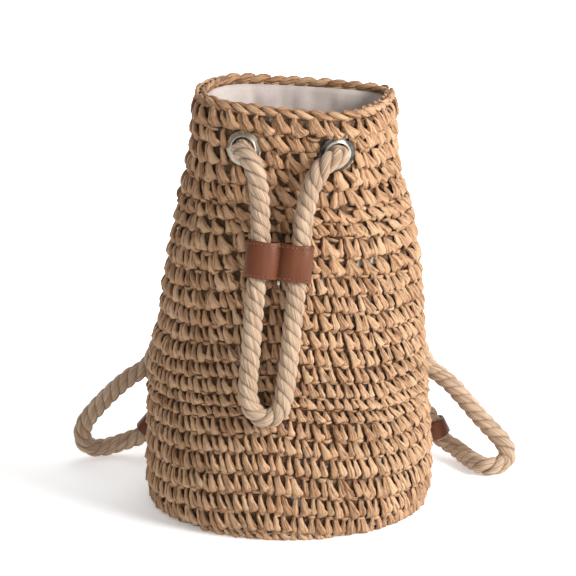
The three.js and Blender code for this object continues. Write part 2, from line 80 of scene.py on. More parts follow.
front_loop_route = [
    (-29.1, -53.1, 264.9), (-30.9, -58.3, 264.9), (-32.2, -62.1, 264.9), (-27.4, -72, 262.5),
    (-23.6, -76.3, 256.5), (-20.8, -77.3, 247.5), (-19.3, -76.5, 234), (-19, -77, 219.5),
    (-18.8, -79.5, 207.2), (-20.1, -82, 193.9), (-21.5, -84.5, 180.7), (-22.8, -84.8, 166),
    (-24.2, -85, 151), (-25.5, -87.5, 132), (-27, -90, 117), (-27.2, -92.5, 104), (-24, -95, 94),
    (-15.5, -97, 89), (-7, -96.5, 93.5), (-3.4, -94.5, 104), (-1.5, -92, 117), (0.5, -89.5, 133),
    (2.4, -87, 151), (4, -86, 166), (5, -85.5, 180.7), (6.7, -83, 193.9), (8.3, -80.5, 207.2),
    (9.6, -78.5, 220.5), (12, -78.5, 233.5), (15.5, -79.3, 245.5), (20.3, -79.6, 254.5),
    (25.4, -77.4, 259.8), (33.8, -67.9, 261.6), (32.5, -64.2, 262.1), (30.7, -59, 262.8),
]
inside_left_route = [
    (-29, -52.8, 264.9), (-25.4, -42.3, 265), (-28, -36.5, 266), (-36, -27.5, 264),
    (-43, -15, 262), (-45.5, 0, 261), (-42.5, 15.5, 258.5), (-35, 27, 255.5), (-27.5, 36, 254.6),
    (-25.5, 41.7, 255.4), (-28.6, 52.5, 255.9),
]
inside_right_route = [
    (30.6, -58.7, 262.9), (27, -48.2, 264.3), (28, -42.5, 264.5), (36.5, -32, 262.5),
    (45.5, -17, 261), (49, 0, 260.5), (46, 12, 258), (37, 24, 254.5), (28, 33.5, 252.8),
    (26.8, 41.8, 253), (29, 52.8, 253.6),
]
strap_left_route = [
    (-28.7, 52.8, 255.9), (-30.3, 58.1, 256.1), (-31.9, 63.8, 256.4), (-32.8, 75, 250.5),
    (-36, 76.5, 240), (-43, 74, 225), (-55, 71, 190), (-69, 69.5, 155), (-84, 70, 118),
    (-95, 71, 92), (-104, 72, 74), (-116.3, 72, 65.8), (-127.1, 72, 57), (-136.2, 72, 48),
    (-144, 72, 39.5), (-150.3, 73, 31), (-153.5, 74, 22), (-152.3, 76, 13), (-146, 79, 7.8),
    (-137, 82, 7.2), (-128.5, 84, 9), (-118.5, 84.2, 12.4), (-108.2, 83.3, 17.1),
    (-97.8, 82.7, 29.7), (-88.5, 83, 38), (-76, 85, 42), (-66.4, 80.5, 42.2), (-62.5, 75.3, 41.6),
    (-59.3, 70.9, 41.2),
]
strap_right_route = [
    (29.1, 53.1, 253.7), (30.2, 58.5, 254), (31.4, 64.3, 254.3), (34, 74, 249),
    (37.5, 75.5, 238.5), (43, 70.5, 225), (56, 71, 190), (70, 71, 155), (84, 72, 118),
    (94, 72, 94), (102.5, 71.5, 74.5), (110, 70, 68.3), (118.6, 67, 62), (125.5, 64, 55),
    (132.3, 60, 48), (139.2, 56, 40.5), (146, 52.5, 33.8), (152.8, 49, 27.5), (158.3, 47, 20.5),
    (160.3, 46.5, 13.5), (157.5, 45, 8.3), (151.3, 40.5, 7.2), (144, 39, 7.1), (137, 48.5, 7.1),
    (130.5, 62, 7.3), (123.5, 74.5, 9.5), (113.2, 80, 15.2), (106, 80.5, 29.8), (98, 83, 40),
    (87, 87, 47), (75.5, 88, 50.5), (66.4, 80.3, 51.1), (62.5, 75.1, 50.5), (59.3, 70.7, 50),
]


def smooth_points(route, gap, closed=False):
    """Points at even steps of gap along a smooth curve through the route's points."""
    fine_steps = 24
    count = len(route)
    dense = []
    last = count if closed else count - 1
    for index in range(last):
        if closed:
            p0, p1, p2, p3 = (route[(index + k) % count] for k in (-1, 0, 1, 2))
        else:
            p1, p2 = route[index], route[index + 1]
            p0 = route[index - 1] if index > 0 else p1 * 2 - p2
            p3 = route[index + 2] if index + 2 < count else p2 * 2 - p1
        knots = [0.0]
        for one, other in ((p0, p1), (p1, p2), (p2, p3)):
            knots.append(knots[-1] + max((other - one).length, 1e-6) ** 0.5)
        t0, t1, t2, t3 = knots
        for step in range(fine_steps):
            t = t1 + (t2 - t1) * step / fine_steps
            a1 = p0 * ((t1 - t) / (t1 - t0)) + p1 * ((t - t0) / (t1 - t0))
            a2 = p1 * ((t2 - t) / (t2 - t1)) + p2 * ((t - t1) / (t2 - t1))
            a3 = p2 * ((t3 - t) / (t3 - t2)) + p3 * ((t - t2) / (t3 - t2))
            b1 = a1 * ((t2 - t) / (t2 - t0)) + a2 * ((t - t0) / (t2 - t0))
            b2 = a2 * ((t3 - t) / (t3 - t1)) + a3 * ((t - t1) / (t3 - t1))
            dense.append(b1 * ((t2 - t) / (t2 - t1)) + b2 * ((t - t1) / (t2 - t1)))
    dense.append(route[0] if closed else route[-1])
    lengths = [0.0]
    for one, other in zip(dense, dense[1:]):
        lengths.append(lengths[-1] + (other - one).length)
    steps = max(2, round(lengths[-1] / gap))
    points = []
    index = 0
    for step in range(steps if closed else steps + 1):
        target = lengths[-1] * step / steps
        while index < len(lengths) - 2 and lengths[index + 1] < target:
            index += 1
        span = max(lengths[index + 1] - lengths[index], 1e-9)
        points.append(dense[index].lerp(dense[index + 1], (target - lengths[index]) / span))
    return points


def wire(tree, node, wires):
    """Wires or sets a node's inputs by name or number."""
    for socket, value in wires.items():
        if isinstance(value, bpy.types.NodeSocket):
            tree.links.new(value, node.inputs[socket])
        else:
            node.inputs[socket].default_value = value


def put(tree, kind, wires=None, **settings):
    """Adds a node with its settings and inputs."""
    node = tree.nodes.new(kind)
    for name, value in settings.items():
        setattr(node, name, value)
    wire(tree, node, wires or {})
    return node


def sums(tree, operation, *values):
    """One Math node on numbers or sockets."""
    return put(tree, "ShaderNodeMath", dict(enumerate(values)), operation=operation).outputs[0]


def vector_sums(tree, operation, *values, out=0):
    """One Vector Math node on vectors or sockets."""
    wires = dict(enumerate(values))
    if operation == "SCALE":
        wires = {0: values[0], "Scale": values[1]}
    return put(tree, "ShaderNodeVectorMath", wires, operation=operation).outputs[out]


def start_tree(name, inputs):
    """A Geometry Nodes tree with a geometry and named inputs going in."""
    tree = bpy.data.node_groups.new(name, "GeometryNodeTree")
    tree.is_modifier = True
    tree.interface.new_socket("Geometry", in_out="INPUT", socket_type="NodeSocketGeometry")
    for label, kind in inputs:
        tree.interface.new_socket(label, in_out="INPUT", socket_type="NodeSocket" + kind)
    tree.interface.new_socket("Geometry", in_out="OUTPUT", socket_type="NodeSocketGeometry")
    return tree, tree.nodes.new("NodeGroupInput").outputs


def end_tree(tree, geometry, material):
    """Realizes what the tree made and gives it its material."""
    real = put(tree, "GeometryNodeRealizeInstances", {0: geometry})
    dressed = put(tree, "GeometryNodeSetMaterial", {0: real.outputs[0], "Material": material})
    tree.links.new(dressed.outputs[0], tree.nodes.new("NodeGroupOutput").inputs[0])


def named(tree, name, kind):
    """Reads a named attribute."""
    node = put(tree, "GeometryNodeInputNamedAttribute", {"Name": name}, data_type=kind)
    return next(socket for socket in node.outputs if socket.enabled and socket.name == "Attribute")


def store(tree, geometry, name, kind, value):
    """Keeps a value on the points under a name."""
    node = put(tree, "GeometryNodeStoreNamedAttribute", {"Geometry": geometry, "Name": name},
               data_type=kind, domain="POINT")
    socket = next(s for s in node.inputs if s.enabled and s.name == "Value")
    tree.links.new(value, socket)
    return node.outputs[0]


def finished_mesh(item, modifier):
    """The mesh that an object has with its modifier, which is taken off again."""
    depsgraph = bpy.context.evaluated_depsgraph_get()
    mesh = bpy.data.meshes.new_from_object(item.evaluated_get(depsgraph))
    item.modifiers.remove(modifier)
    return mesh


def grow(name, mesh, tree, settings):
    """Runs a tree on a mesh and keeps the result as a plain mesh of the piece's name."""
    worker = bring_in(name + "_marks", mesh)
    modifier = worker.modifiers.new("grow", "NODES")
    modifier.node_group = tree
    for item in tree.interface.items_tree:
        if item.in_out == "INPUT" and item.name in settings:
            modifier[item.identifier] = settings[item.name]
    grown = finished_mesh(worker, modifier)
    grown.name = name
    bpy.data.objects.remove(worker)
    return bring_in(name, grown)


def line_mesh(name, points):
    """A mesh of one line through points, to be turned into a curve by a tree."""
    mesh = bpy.data.meshes.new(name)
    edges = [(index, index + 1) for index in range(len(points) - 1)]
    mesh.from_pydata([tuple(point) for point in points], edges, [])
    return mesh


# Fibre streaks, shared by the rope and the straw.
fibre_group = bpy.data.node_groups.new("fibre_streaks", "ShaderNodeTree")
for label, kind in (("Place", "Vector"), ("Across", "Float"), ("Along", "Float")):
    fibre_group.interface.new_socket(label, in_out="INPUT", socket_type="NodeSocket" + kind)
for label in ("Streaks", "Height"):
    fibre_group.interface.new_socket(label, in_out="OUTPUT", socket_type="NodeSocketFloat")
fibre_in = fibre_group.nodes.new("NodeGroupInput").outputs
fibre_out = fibre_group.nodes.new("NodeGroupOutput")
fibre_scale = put(fibre_group, "ShaderNodeCombineXYZ",
                  {0: fibre_in["Across"], 1: fibre_in["Across"], 2: fibre_in["Along"]}).outputs[0]
fibre_place = vector_sums(fibre_group, "MULTIPLY", fibre_in["Place"], fibre_scale)
fine = put(fibre_group, "ShaderNodeTexNoise", {"Vector": fibre_place, "Scale": 1.0,
                                               "Detail": 3.0, "Roughness": 0.65})
broad = put(fibre_group, "ShaderNodeTexNoise", {"Vector": fibre_place, "Scale": 0.32,
                                                "Detail": 2.0, "Roughness": 0.5})
fibre_mix = put(fibre_group, "ShaderNodeMix", {0: 0.4, 2: fine.outputs[0], 3: broad.outputs[0]},
                data_type="FLOAT")
wire(fibre_group, fibre_out, {"Streaks": fibre_mix.outputs[0], "Height": fine.outputs[0]})


def use_group(tree, group, wires):
    """Places a shader node group in a material."""
    return put(tree, "ShaderNodeGroup", wires, node_tree=group).outputs


def start_material(name):
    """A material with its Principled shader."""
    material = bpy.data.materials.new(name)
    material.use_nodes = True
    return material, material.node_tree, material.node_tree.nodes["Principled BSDF"]


def blend_colour(tree, share, one, other):
    """Mixes two colours by a share."""
    return put(tree, "ShaderNodeMix", {0: share, 6: one, 7: other}, data_type="RGBA").outputs[2]


def spread(tree, value, low, high, to_low=0.0, to_high=1.0):
    """Maps a range of a value to another range."""
    wires = {0: value, 1: low, 2: high, 3: to_low, 4: to_high}
    return put(tree, "ShaderNodeMapRange", wires).outputs[0]


def bump(tree, shader, height, strength, distance):
    """Relief from a height, in metres."""
    node = put(tree, "ShaderNodeBump",
               {"Height": height, "Strength": strength, "Distance": distance})
    wire(tree, shader, {"Normal": node.outputs[0]})


rope_material, tree, shader = start_material("laid_rope")
fibre = put(tree, "ShaderNodeAttribute", attribute_name="fibre").outputs["Vector"]
crown = put(tree, "ShaderNodeAttribute", attribute_name="crown").outputs["Fac"]
streaks = use_group(tree, fibre_group, {"Place": fibre, "Across": 1050.0, "Along": 70.0})
patch = put(tree, "ShaderNodeTexNoise", {"Vector": fibre, "Scale": 90.0, "Detail": 2.0})
tint = blend_colour(tree, spread(tree, streaks["Streaks"], 0.40, 0.58), rope_colour,
                    rope_pale_colour)
tint = blend_colour(tree, spread(tree, patch.outputs[0], 0.45, 0.75, 0.0, 0.35), tint,
                    rope_patch_colour)
tint = blend_colour(tree, spread(tree, crown, 0.68, 0.91, 1.0, 0.0), tint, rope_shadow_colour)
wire(tree, shader, {"Base Color": tint, "Roughness": 0.88, "Sheen Weight": 0.15})
bump(tree, shader, streaks["Height"], 1.0, 0.0012)

# Three strands are offset from the rope's line and turn about it once in each lay length.
strand_tree, given = start_tree("lay_strands", [
    ("Rope Diameter", "Float"), ("Strand Share", "Float"), ("Lay Length", "Float"),
    ("Strands", "Int"), ("Sides", "Int"), ("Fibre Twist", "Float"), ("Plumpness", "Float"),
    ("Material", "Material")])
tree = strand_tree
strand_radius = sums(tree, "MULTIPLY", given["Rope Diameter"], given["Strand Share"])
circle_radius = sums(tree, "SUBTRACT", sums(tree, "DIVIDE", given["Rope Diameter"], 2.0),
                     strand_radius)
line = put(tree, "GeometryNodeMeshToCurve", {0: given["Geometry"]}).outputs[0]
line = put(tree, "GeometryNodeSetCurveNormal", {0: line}).outputs[0]
copies = put(tree, "GeometryNodeDuplicateElements", {0: line, "Amount": given["Strands"]},
             domain="SPLINE")
along = put(tree, "GeometryNodeSplineParameter").outputs["Length"]
share = sums(tree, "DIVIDE", copies.outputs["Duplicate Index"], given["Strands"])
turns = sums(tree, "SUBTRACT", share, sums(tree, "DIVIDE", along, given["Lay Length"]))
angle = sums(tree, "MULTIPLY", turns, 2 * math.pi)
strand = store(tree, copies.outputs[0], "angle", "FLOAT", angle)
strand = store(tree, strand, "along", "FLOAT", along)
middle = put(tree, "GeometryNodeInputPosition").outputs[0]
strand = store(tree, strand, "middle", "FLOAT_VECTOR", middle)
across = tree.nodes.new("GeometryNodeInputNormal").outputs[0]
forward = tree.nodes.new("GeometryNodeInputTangent").outputs[0]
beside = vector_sums(tree, "CROSS_PRODUCT", forward, across)
turn_angle = named(tree, "angle", "FLOAT")
offset = vector_sums(
    tree, "ADD",
    vector_sums(tree, "SCALE", across, sums(tree, "COSINE", turn_angle)),
    vector_sums(tree, "SCALE", beside, sums(tree, "SINE", turn_angle)))
offset = vector_sums(tree, "SCALE", offset, circle_radius)
strand = put(tree, "GeometryNodeSetPosition", {"Geometry": strand, "Offset": offset}).outputs[0]
ring = put(tree, "GeometryNodeCurvePrimitiveCircle",
           {"Resolution": given["Sides"], "Radius": strand_radius}).outputs[0]
round_angle = sums(tree, "MULTIPLY",
                   put(tree, "GeometryNodeSplineParameter").outputs["Factor"], 2 * math.pi)
ring = store(tree, ring, "around", "FLOAT", round_angle)
tube = put(tree, "GeometryNodeCurveToMesh",
           {"Curve": strand, "Profile Curve": ring, "Fill Caps": True}).outputs[0]
fibre_angle = sums(tree, "ADD", named(tree, "around", "FLOAT"),
                   sums(tree, "MULTIPLY", named(tree, "angle", "FLOAT"), given["Fibre Twist"]))
fibre_spot = put(tree, "ShaderNodeCombineXYZ", {
    0: sums(tree, "MULTIPLY", sums(tree, "COSINE", fibre_angle), strand_radius),
    1: sums(tree, "MULTIPLY", sums(tree, "SINE", fibre_angle), strand_radius),
    2: named(tree, "along", "FLOAT")}).outputs[0]
tube = store(tree, tube, "fibre", "FLOAT_VECTOR", fibre_spot)
reach = vector_sums(tree, "DISTANCE", put(tree, "GeometryNodeInputPosition").outputs[0],
                    named(tree, "middle", "FLOAT_VECTOR"), out="Value")
tube = store(tree, tube, "crown", "FLOAT",
             sums(tree, "DIVIDE", reach, sums(tree, "MULTIPLY", given["Rope Diameter"], 0.5)))
# The strands press each other wider, which fills the grooves up to near the rope's outside.
# No point counts as nearer the rope's middle than the least crown.
least_crown = 0.15
spoke = vector_sums(tree, "SUBTRACT", put(tree, "GeometryNodeInputPosition").outputs[0],
                    named(tree, "middle", "FLOAT_VECTOR"))
plumper = sums(tree, "POWER", sums(tree, "MAXIMUM", named(tree, "crown", "FLOAT"), least_crown),
               given["Plumpness"])
tube = put(tree, "GeometryNodeSetPosition", {"Geometry": tube, "Position": vector_sums(
    tree, "ADD", named(tree, "middle", "FLOAT_VECTOR"),
    vector_sums(tree, "SCALE", spoke, plumper))}).outputs[0]
tube = put(tree, "GeometryNodeSetShadeSmooth", {0: tube}).outputs[0]
end_tree(tree, tube, given["Material"])

# Name, route, the node it stands for, its length and its lay length in metres, how it lies.
rope_runs = [
    ("rope_loop_front", front_loop_route, "rope_front_loop", 0.412, 0.0255, "hanging"),
    ("rope_run_left", inside_left_route, "rope_inside_left", 0.119, 0.025, "taut"),
    ("rope_run_right", inside_right_route, "rope_inside_right", 0.127, 0.025, "taut"),
    ("rope_back_left", strap_left_route, "rope_strap_left", 0.413, 0.0245, "loose"),
    ("rope_back_right", strap_right_route, "rope_strap_right", 0.457, 0.0245, "loose"),
]
for name, route, node, length, lay_length, lay in rope_runs:
    points = smooth_points([Vector(point) * mm for point in route], rope_point_gap)
    piece = grow(name, line_mesh(name, points), strand_tree, {
        "Rope Diameter": rope_diameter, "Strand Share": strand_share, "Lay Length": lay_length,
        "Strands": 3, "Sides": 14, "Fibre Twist": 0.85, "Plumpness": -0.22,
        "Material": rope_material})
    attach(piece, "root")
    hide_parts(node)


# Crocheted straw
# Paper straw crocheted in rounds from the middle of the base to the mouth. Each stitch is
# a V of two flattened legs, and each round overhangs the round below it.
bag_height = 293.0
base_half_width = 101.0
base_half_depth = 96.0
mouth_half_width = 70.0
mouth_half_depth = 58.0
mouth_lean = 4.0
mouth_start_level = 0.72
stitch_pitch = 12.0
stitch_height = 12.0
straw_colour = (0.47, 0.262, 0.137, 1.0)
straw_pale_colour = (0.64, 0.415, 0.245, 1.0)
straw_dark_colour = (0.19, 0.085, 0.034, 1.0)
# Painted shade for the stitch backs: the gap colour is painted shadow, and the back and glimpse
# colours are shaded straw and shaded cloth.
straw_gap_shadow_colour = (0.055, 0.026, 0.012, 1.0)
straw_back_shaded_colour = (0.17, 0.09, 0.04, 1.0)
cloth_glimpse_shaded_colour = (0.34, 0.30, 0.275, 1.0)

# Level, then the left, right and front shares of the way from mouth to base.
sections = [
    (0.00, 0.86, 0.82, 0.87), (0.02, 0.94, 0.92, 0.94), (0.05, 1.00, 1.00, 1.00),
    (0.12, 1.00, 1.00, 1.00), (0.24, 0.97, 0.90, 0.89), (0.34, 0.94, 0.83, 0.77),
    (0.42, 0.86, 0.77, 0.66), (0.48, 0.69, 0.73, 0.58), (0.54, 0.64, 0.69, 0.53),
    (0.61, 0.53, 0.63, 0.45), (0.70, 0.39, 0.48, 0.34), (0.78, 0.24, 0.26, 0.22),
    (0.87, 0.12, 0.07, 0.12), (1.00, 0.00, 0.00, 0.00),
]
# Corners of the slack mouth, as shares of its half width and half depth.
mouth_corners = [
    (1.02, 0.36), (0.90, 0.90), (-0.67, 0.93), (-1.00, -0.30), (-0.74, -0.90), (0.50, -1.10)]
# Number of rows, and the height of each as a share of the bag's height.
row_bands = [
    (1, 0.029), (4, 0.0475), (2, 0.0415), (2, 0.028), (2, 0.0365), (7, 0.0415),
    (2, 0.0305), (3, 0.0400), (2, 0.0366),
]
# Level, and how steeply the rows rise to the right there.
row_slopes = [(0.00, 0.000), (0.14, 0.072), (0.38, 0.068), (0.72, 0.000), (1.00, -0.066)]
# How far the rows have settled, in mm, by how far to the right of the bag's middle they are.
# The settling fades out over a band of levels below the end level.
settling_end_level = 0.95
settling_band = 0.35
row_settling = [
    (-1.00, 9.5), (-0.86, 9.0), (-0.69, 7.0), (-0.50, 4.3), (-0.30, 1.8), (-0.15, 1.2),
    (0.00, 2.8), (0.20, 5.4), (0.47, 8.0), (0.66, 10.6), (0.83, 11.3), (1.00, 11.5),
]


def read_table(table, column, level):
    """Value of a column at a level, in a straight line from row to row."""
    if level <= table[0][0]:
        return table[0][column]
    for lower, upper in zip(table, table[1:]):
        if level <= upper[0]:
            share = (level - lower[0]) / (upper[0] - lower[0])
            return lower[column] + (upper[column] - lower[column]) * share
    return table[-1][column]


mouth_points = smooth_points(
    [Vector((mouth_lean + across * mouth_half_width, along * mouth_half_depth, 0))
     for across, along in mouth_corners], 2.0, closed=True)
mouth_outline = sorted((math.atan2(p.y, p.x), math.hypot(p.x, p.y)) for p in mouth_points)


def mouth_radius(angle):
    """Distance of the slack mouth from the bag's axis in one direction."""
    wrapped = math.atan2(math.sin(angle), math.cos(angle))
    after = next((i for i, spot in enumerate(mouth_outline) if spot[0] > wrapped), 0)
    low, high = mouth_outline[after - 1], mouth_outline[after]
    span = (high[0] - low[0]) % (2 * math.pi)
    share = ((wrapped - low[0]) % (2 * math.pi)) / span
    return low[1] + (high[1] - low[1]) * share


def bag_radius(angle, level):
    """Outer radius of the bag: an oval low down, the mouth's outline at the top."""
    rightward = math.cos(angle) > 0
    mouth_side = mouth_half_width + (mouth_lean if rightward else -mouth_lean)
    side = read_table(sections, 2 if rightward else 1, level)
    half_width = mouth_side + (base_half_width - mouth_side) * side
    half_depth = mouth_half_depth + (
        base_half_depth - mouth_half_depth) * read_table(sections, 3, level)
    oval = 1 / math.hypot(math.cos(angle) / half_width, math.sin(angle) / half_depth)
    share = min(max((level - mouth_start_level) / (1 - mouth_start_level), 0.0), 1.0)
    slack = share * share * (3 - 2 * share)
    if slack == 0.0:
        return oval
    return oval + (mouth_radius(angle) - oval) * slack


def bag_point(angle, height, inset):
    """A point on the bag in metres, inset from its outer face. Height is on the bag's axis."""
    level = height / bag_height
    radius = bag_radius(angle, level) - inset
    x = radius * math.cos(angle)
    y = radius * math.sin(angle)
    return Vector((x, y, height + read_table(row_slopes, 1, level) * x)) * mm


def bag_facing(angle, height):
    """Directions along the row, out of the wall and up the wall."""
    aside = 0.02
    upward = 2
    along = bag_point(angle + aside, height, 0) - bag_point(angle - aside, height, 0)
    rise = bag_point(angle, height + upward, 0) - bag_point(angle, height - upward, 0)
    out = along.cross(rise).normalized()
    along.normalize()
    return along, out, out.cross(along)


def row_height(angle, height):
    """Height at which a row of stitches really runs. Low rows have settled at the sides."""
    level = height / bag_height
    share = min(max((settling_end_level - level) / settling_band, 0.0), 1.0)
    settled = read_table(row_settling, 1, math.cos(angle)) * share * share * (3 - 2 * share)
    slope = max(read_table(row_slopes, 1, level), 0.0)
    return height - settled - slope * bag_radius(angle, level) * math.cos(angle)


def ring_angles(height, pitch, first):
    """Angles at even steps round the bag from a first one, and how long the steps are."""
    fine_steps = 360
    spots = [first + 2 * math.pi * step / fine_steps for step in range(fine_steps + 1)]
    lengths = [0.0]
    places = [bag_point(spot, height, 0) for spot in spots]
    for one, other in zip(places, places[1:]):
        lengths.append(lengths[-1] + (other - one).length)
    count = round(lengths[-1] / (pitch * mm))
    angles = []
    index = 0
    for step in range(count):
        target = lengths[-1] * step / count
        while lengths[index + 1] < target:
            index += 1
        share = (target - lengths[index]) / (lengths[index + 1] - lengths[index])
        angles.append(spots[index] + (spots[index + 1] - spots[index]) * share)
    return angles, lengths[-1] / count / mm


# Middle of each eyelet on the bag's wall and the way it faces.
eyelet_seats = {
    "front_left": ((-30.1, -56.0, 264.9), (-0.325, -0.946, -0.009)),
    "front_right": ((31.7, -61.8, 262.4), (0.324, -0.937, -0.131)),
    "back_left": ((-29.6, 55.7, 256.0), (-0.279, 0.959, 0.042)),
    "back_right": ((29.7, 56.0, 253.8), (0.198, 0.978, 0.059)),
    "low_left": ((-61.0, 73.3, 41.4), (-0.595, 0.799, 0.082)),
    "low_right": ((61.1, 73.1, 50.3), (0.591, 0.801, 0.093)),
}
eyelet_seats = {name: (Vector(middle) * mm, Vector(out).normalized())
                for name, (middle, out) in eyelet_seats.items()}
eyelet_reach = 50 * mm


def off_axis(point):
    """Distance of a point from the nearest eyelet's axis, and that eyelet's seat."""
    best = (1.0, None)
    for middle, out in eyelet_seats.values():
        if (point - middle).length < eyelet_reach:
            flat = point - middle - out * (point - middle).dot(out)
            best = min(best, (flat.length, (middle, out)), key=lambda found: found[0])
    return best


def faced_mesh(name, vertices, faces):
    """A smooth mesh of corners, in metres, and faces."""
    mesh = bpy.data.meshes.new(name)
    mesh.from_pydata([tuple(vertex) for vertex in vertices], [], faces)
    mesh.polygons.foreach_set("use_smooth", [True] * len(mesh.polygons))
    return mesh


ribbon_sides = 8
ribbon_creases = 3
crease_depth = 0.16
crease_start = 0.5
edge_on = 0.25


def ribbon_mesh(name, stations):
    """A flattened, creased strip of straw. Each station is (x, y, z, half width, half
    thickness), in mm, with x along the row, y into the wall and z up. Its flat side faces
    out of the wall, or down where the strip runs nearly straight into the wall."""
    front = Vector((0, -1, 0))
    below = Vector((0, 0, -1))
    centres = [Vector(station[:3]) for station in stations]
    vertices, faces, ribbons = [], [], []
    length = 0.0
    for index, station in enumerate(stations):
        before = centres[max(index - 1, 0)]
        after = centres[min(index + 1, len(centres) - 1)]
        forward = (after - before).normalized()
        outward = front - forward * front.dot(forward)
        if outward.length < edge_on:
            outward = below - forward * forward.dot(below)
        outward.normalize()
        sideways = forward.cross(outward)
        if index:
            length += (centres[index] - centres[index - 1]).length
        for side in range(ribbon_sides):
            turn = 2 * math.pi * side / ribbon_sides
            ridge = 1.0 + crease_depth * math.cos(ribbon_creases * turn + crease_start)
            across = math.cos(turn) * station[3] * ridge
            thick = math.sin(turn) * station[4] * ridge
            vertices.append(centres[index] + sideways * across + outward * thick)
            ribbons.append((across, thick, length))
    for start in range(0, (len(stations) - 1) * ribbon_sides, ribbon_sides):
        for side in range(ribbon_sides):
            here, beside = start + side, start + (side + 1) % ribbon_sides
            faces.append((here, beside, beside + ribbon_sides, here + ribbon_sides))
    faces.append(tuple(reversed(range(ribbon_sides))))
    faces.append(tuple(range(len(vertices) - ribbon_sides, len(vertices))))
    mesh = faced_mesh(name, [vertex * mm for vertex in vertices], faces)
    attribute = mesh.attributes.new("ribbon", "FLOAT_VECTOR", "POINT")
    for index, spot in enumerate(ribbons):
        attribute.data[index].vector = [value * mm for value in spot]
    return mesh


# Legs of the V: the left one is long, slants and flares at its foot, the right one is
# shorter. The strand lies in the gap under them. x, y, z, half width, half thickness.
left_leg = [
    (-5.7, 4.6, 5.9, 0.8, 0.7), (-5.6, 3.0, 5.0, 1.2, 1.0), (-5.1, 1.6, 3.2, 1.6, 1.2),
    (-4.3, 0.7, 1.0, 2.1, 1.3), (-3.2, 0.1, -1.3, 2.7, 1.4), (-2.1, -0.2, -3.3, 3.2, 1.3),
    (-1.5, 0.8, -4.8, 3.3, 1.0), (-1.4, 3.6, -4.9, 2.7, 0.7),
]
right_leg = [
    (1.4, 4.6, 5.8, 0.8, 0.7), (1.4, 2.9, 4.9, 1.1, 1.0), (1.6, 1.5, 3.1, 1.4, 1.2),
    (2.0, 0.8, 0.9, 1.9, 1.3), (2.7, 0.3, -1.3, 2.3, 1.3), (3.4, 0.3, -3.2, 2.5, 1.2),
    (3.8, 1.4, -4.5, 2.4, 0.9), (3.8, 3.8, -4.6, 1.9, 0.7),
]
under_strand = [
    (-0.4, 4.0, -5.4, 0.8, 0.7), (1.2, 2.3, -5.9, 1.3, 1.1), (3.2, 1.7, -6.1, 1.5, 1.2),
    (5.0, 2.3, -5.8, 1.3, 1.1), (6.4, 4.2, -5.3, 0.8, 0.7),
]
leg_variants = 5


def crumple_strip(stations, seed):
    """A strip with its own bends, width and lean."""
    shift_x, shift_y, shift_z = 0.35, 0.3, 0.2
    dice = random.Random(seed)
    lean = dice.uniform(-0.14, 0.12)
    wide = dice.uniform(0.84, 1.12)
    result = []
    for x, y, z, half_width, half_thickness in stations:
        result.append((
            x + lean * z + dice.uniform(-shift_x, shift_x), y + dice.uniform(-shift_y, shift_y),
            z + dice.uniform(-shift_z, shift_z), half_width * wide * dice.uniform(0.9, 1.12),
            half_thickness * dice.uniform(0.85, 1.15)))
    return result


def shape_set(label, kinds, variants, first_seed, seed_step):
    """A collection of strips: so many variants of each kind, in the order given."""
    shapes = bpy.data.collections.new(label + "_shapes")
    for kind, stations in enumerate(kinds):
        for variant in range(variants):
            number = kind * variants + variant
            shape_name = f"{label}_{number:02d}"
            crumpled = crumple_strip(stations, first_seed + seed_step * number)
            mesh = ribbon_mesh(shape_name, crumpled)
            shapes.objects.link(bpy.data.objects.new(shape_name, mesh))
    return shapes


leg_shapes = shape_set("leg", [left_leg, right_leg, under_strand], leg_variants,
                       first_seed=5, seed_step=31)

# Grows legs on marks that carry a turn, a size, the number of a shape and a shade.
leg_tree, given = start_tree("set_legs", [
    ("Leg Shapes", "Collection"), ("Crumple", "Float"), ("Crumple Scale", "Float"),
    ("Material", "Material")])
tree = leg_tree
shapes = put(tree, "GeometryNodeCollectionInfo",
             {"Collection": given["Leg Shapes"], "Separate Children": True,
              "Reset Children": True}).outputs[0]
legs = put(tree, "GeometryNodeInstanceOnPoints", {
    "Points": given["Geometry"], "Instance": shapes, "Pick Instance": True,
    "Instance Index": named(tree, "shape", "INT"), "Rotation": named(tree, "turn", "QUATERNION"),
    "Scale": named(tree, "size", "FLOAT_VECTOR")}).outputs[0]
legs = put(tree, "GeometryNodeRealizeInstances", {0: legs}).outputs[0]
crumple = put(tree, "ShaderNodeTexNoise", {
    "Vector": put(tree, "GeometryNodeInputPosition").outputs[0],
    "Scale": given["Crumple Scale"], "Detail": 1.0}).outputs["Color"]
crumple = vector_sums(tree, "SUBTRACT", crumple, (0.5, 0.5, 0.5))
legs = put(tree, "GeometryNodeSetPosition", {
    "Geometry": legs,
    "Offset": vector_sums(tree, "SCALE", crumple, given["Crumple"])}).outputs[0]
legs = put(tree, "GeometryNodeSetShadeSmooth", {0: legs}).outputs[0]
end_tree(tree, legs, given["Material"])

# Each strip has creases along it and a shade of its own.
straw_material, tree, shader = start_material("paper_straw")
ribbon = put(tree, "ShaderNodeAttribute", attribute_name="ribbon").outputs["Vector"]
shade = put(tree, "ShaderNodeAttribute", attribute_name="shade").outputs["Fac"]
moved = vector_sums(tree, "ADD", ribbon, vector_sums(tree, "SCALE", (1.0, 0.7, 1.3), shade))
streaks = use_group(tree, fibre_group, {"Place": moved, "Across": 820.0, "Along": 95.0})
place = put(tree, "ShaderNodeTexCoord").outputs["Object"]
patch = put(tree, "ShaderNodeTexNoise", {"Vector": place, "Scale": 28.0, "Detail": 2.0})
# The shade sets each strip's own tone. On the upper rows and the rim it is lowered with painted
# shade.
tint = blend_colour(tree, shade, straw_colour, straw_pale_colour)
tint = blend_colour(tree, spread(tree, streaks["Streaks"], 0.51, 0.40, 0.0, 0.9), tint,
                    straw_dark_colour)
tint = blend_colour(tree, spread(tree, streaks["Streaks"], 0.53, 0.62, 0.0, 0.75), tint,
                    straw_pale_colour)
tint = blend_colour(tree, spread(tree, patch.outputs[0], 0.5, 0.7, 0.0, 0.25), tint,
                    straw_dark_colour)
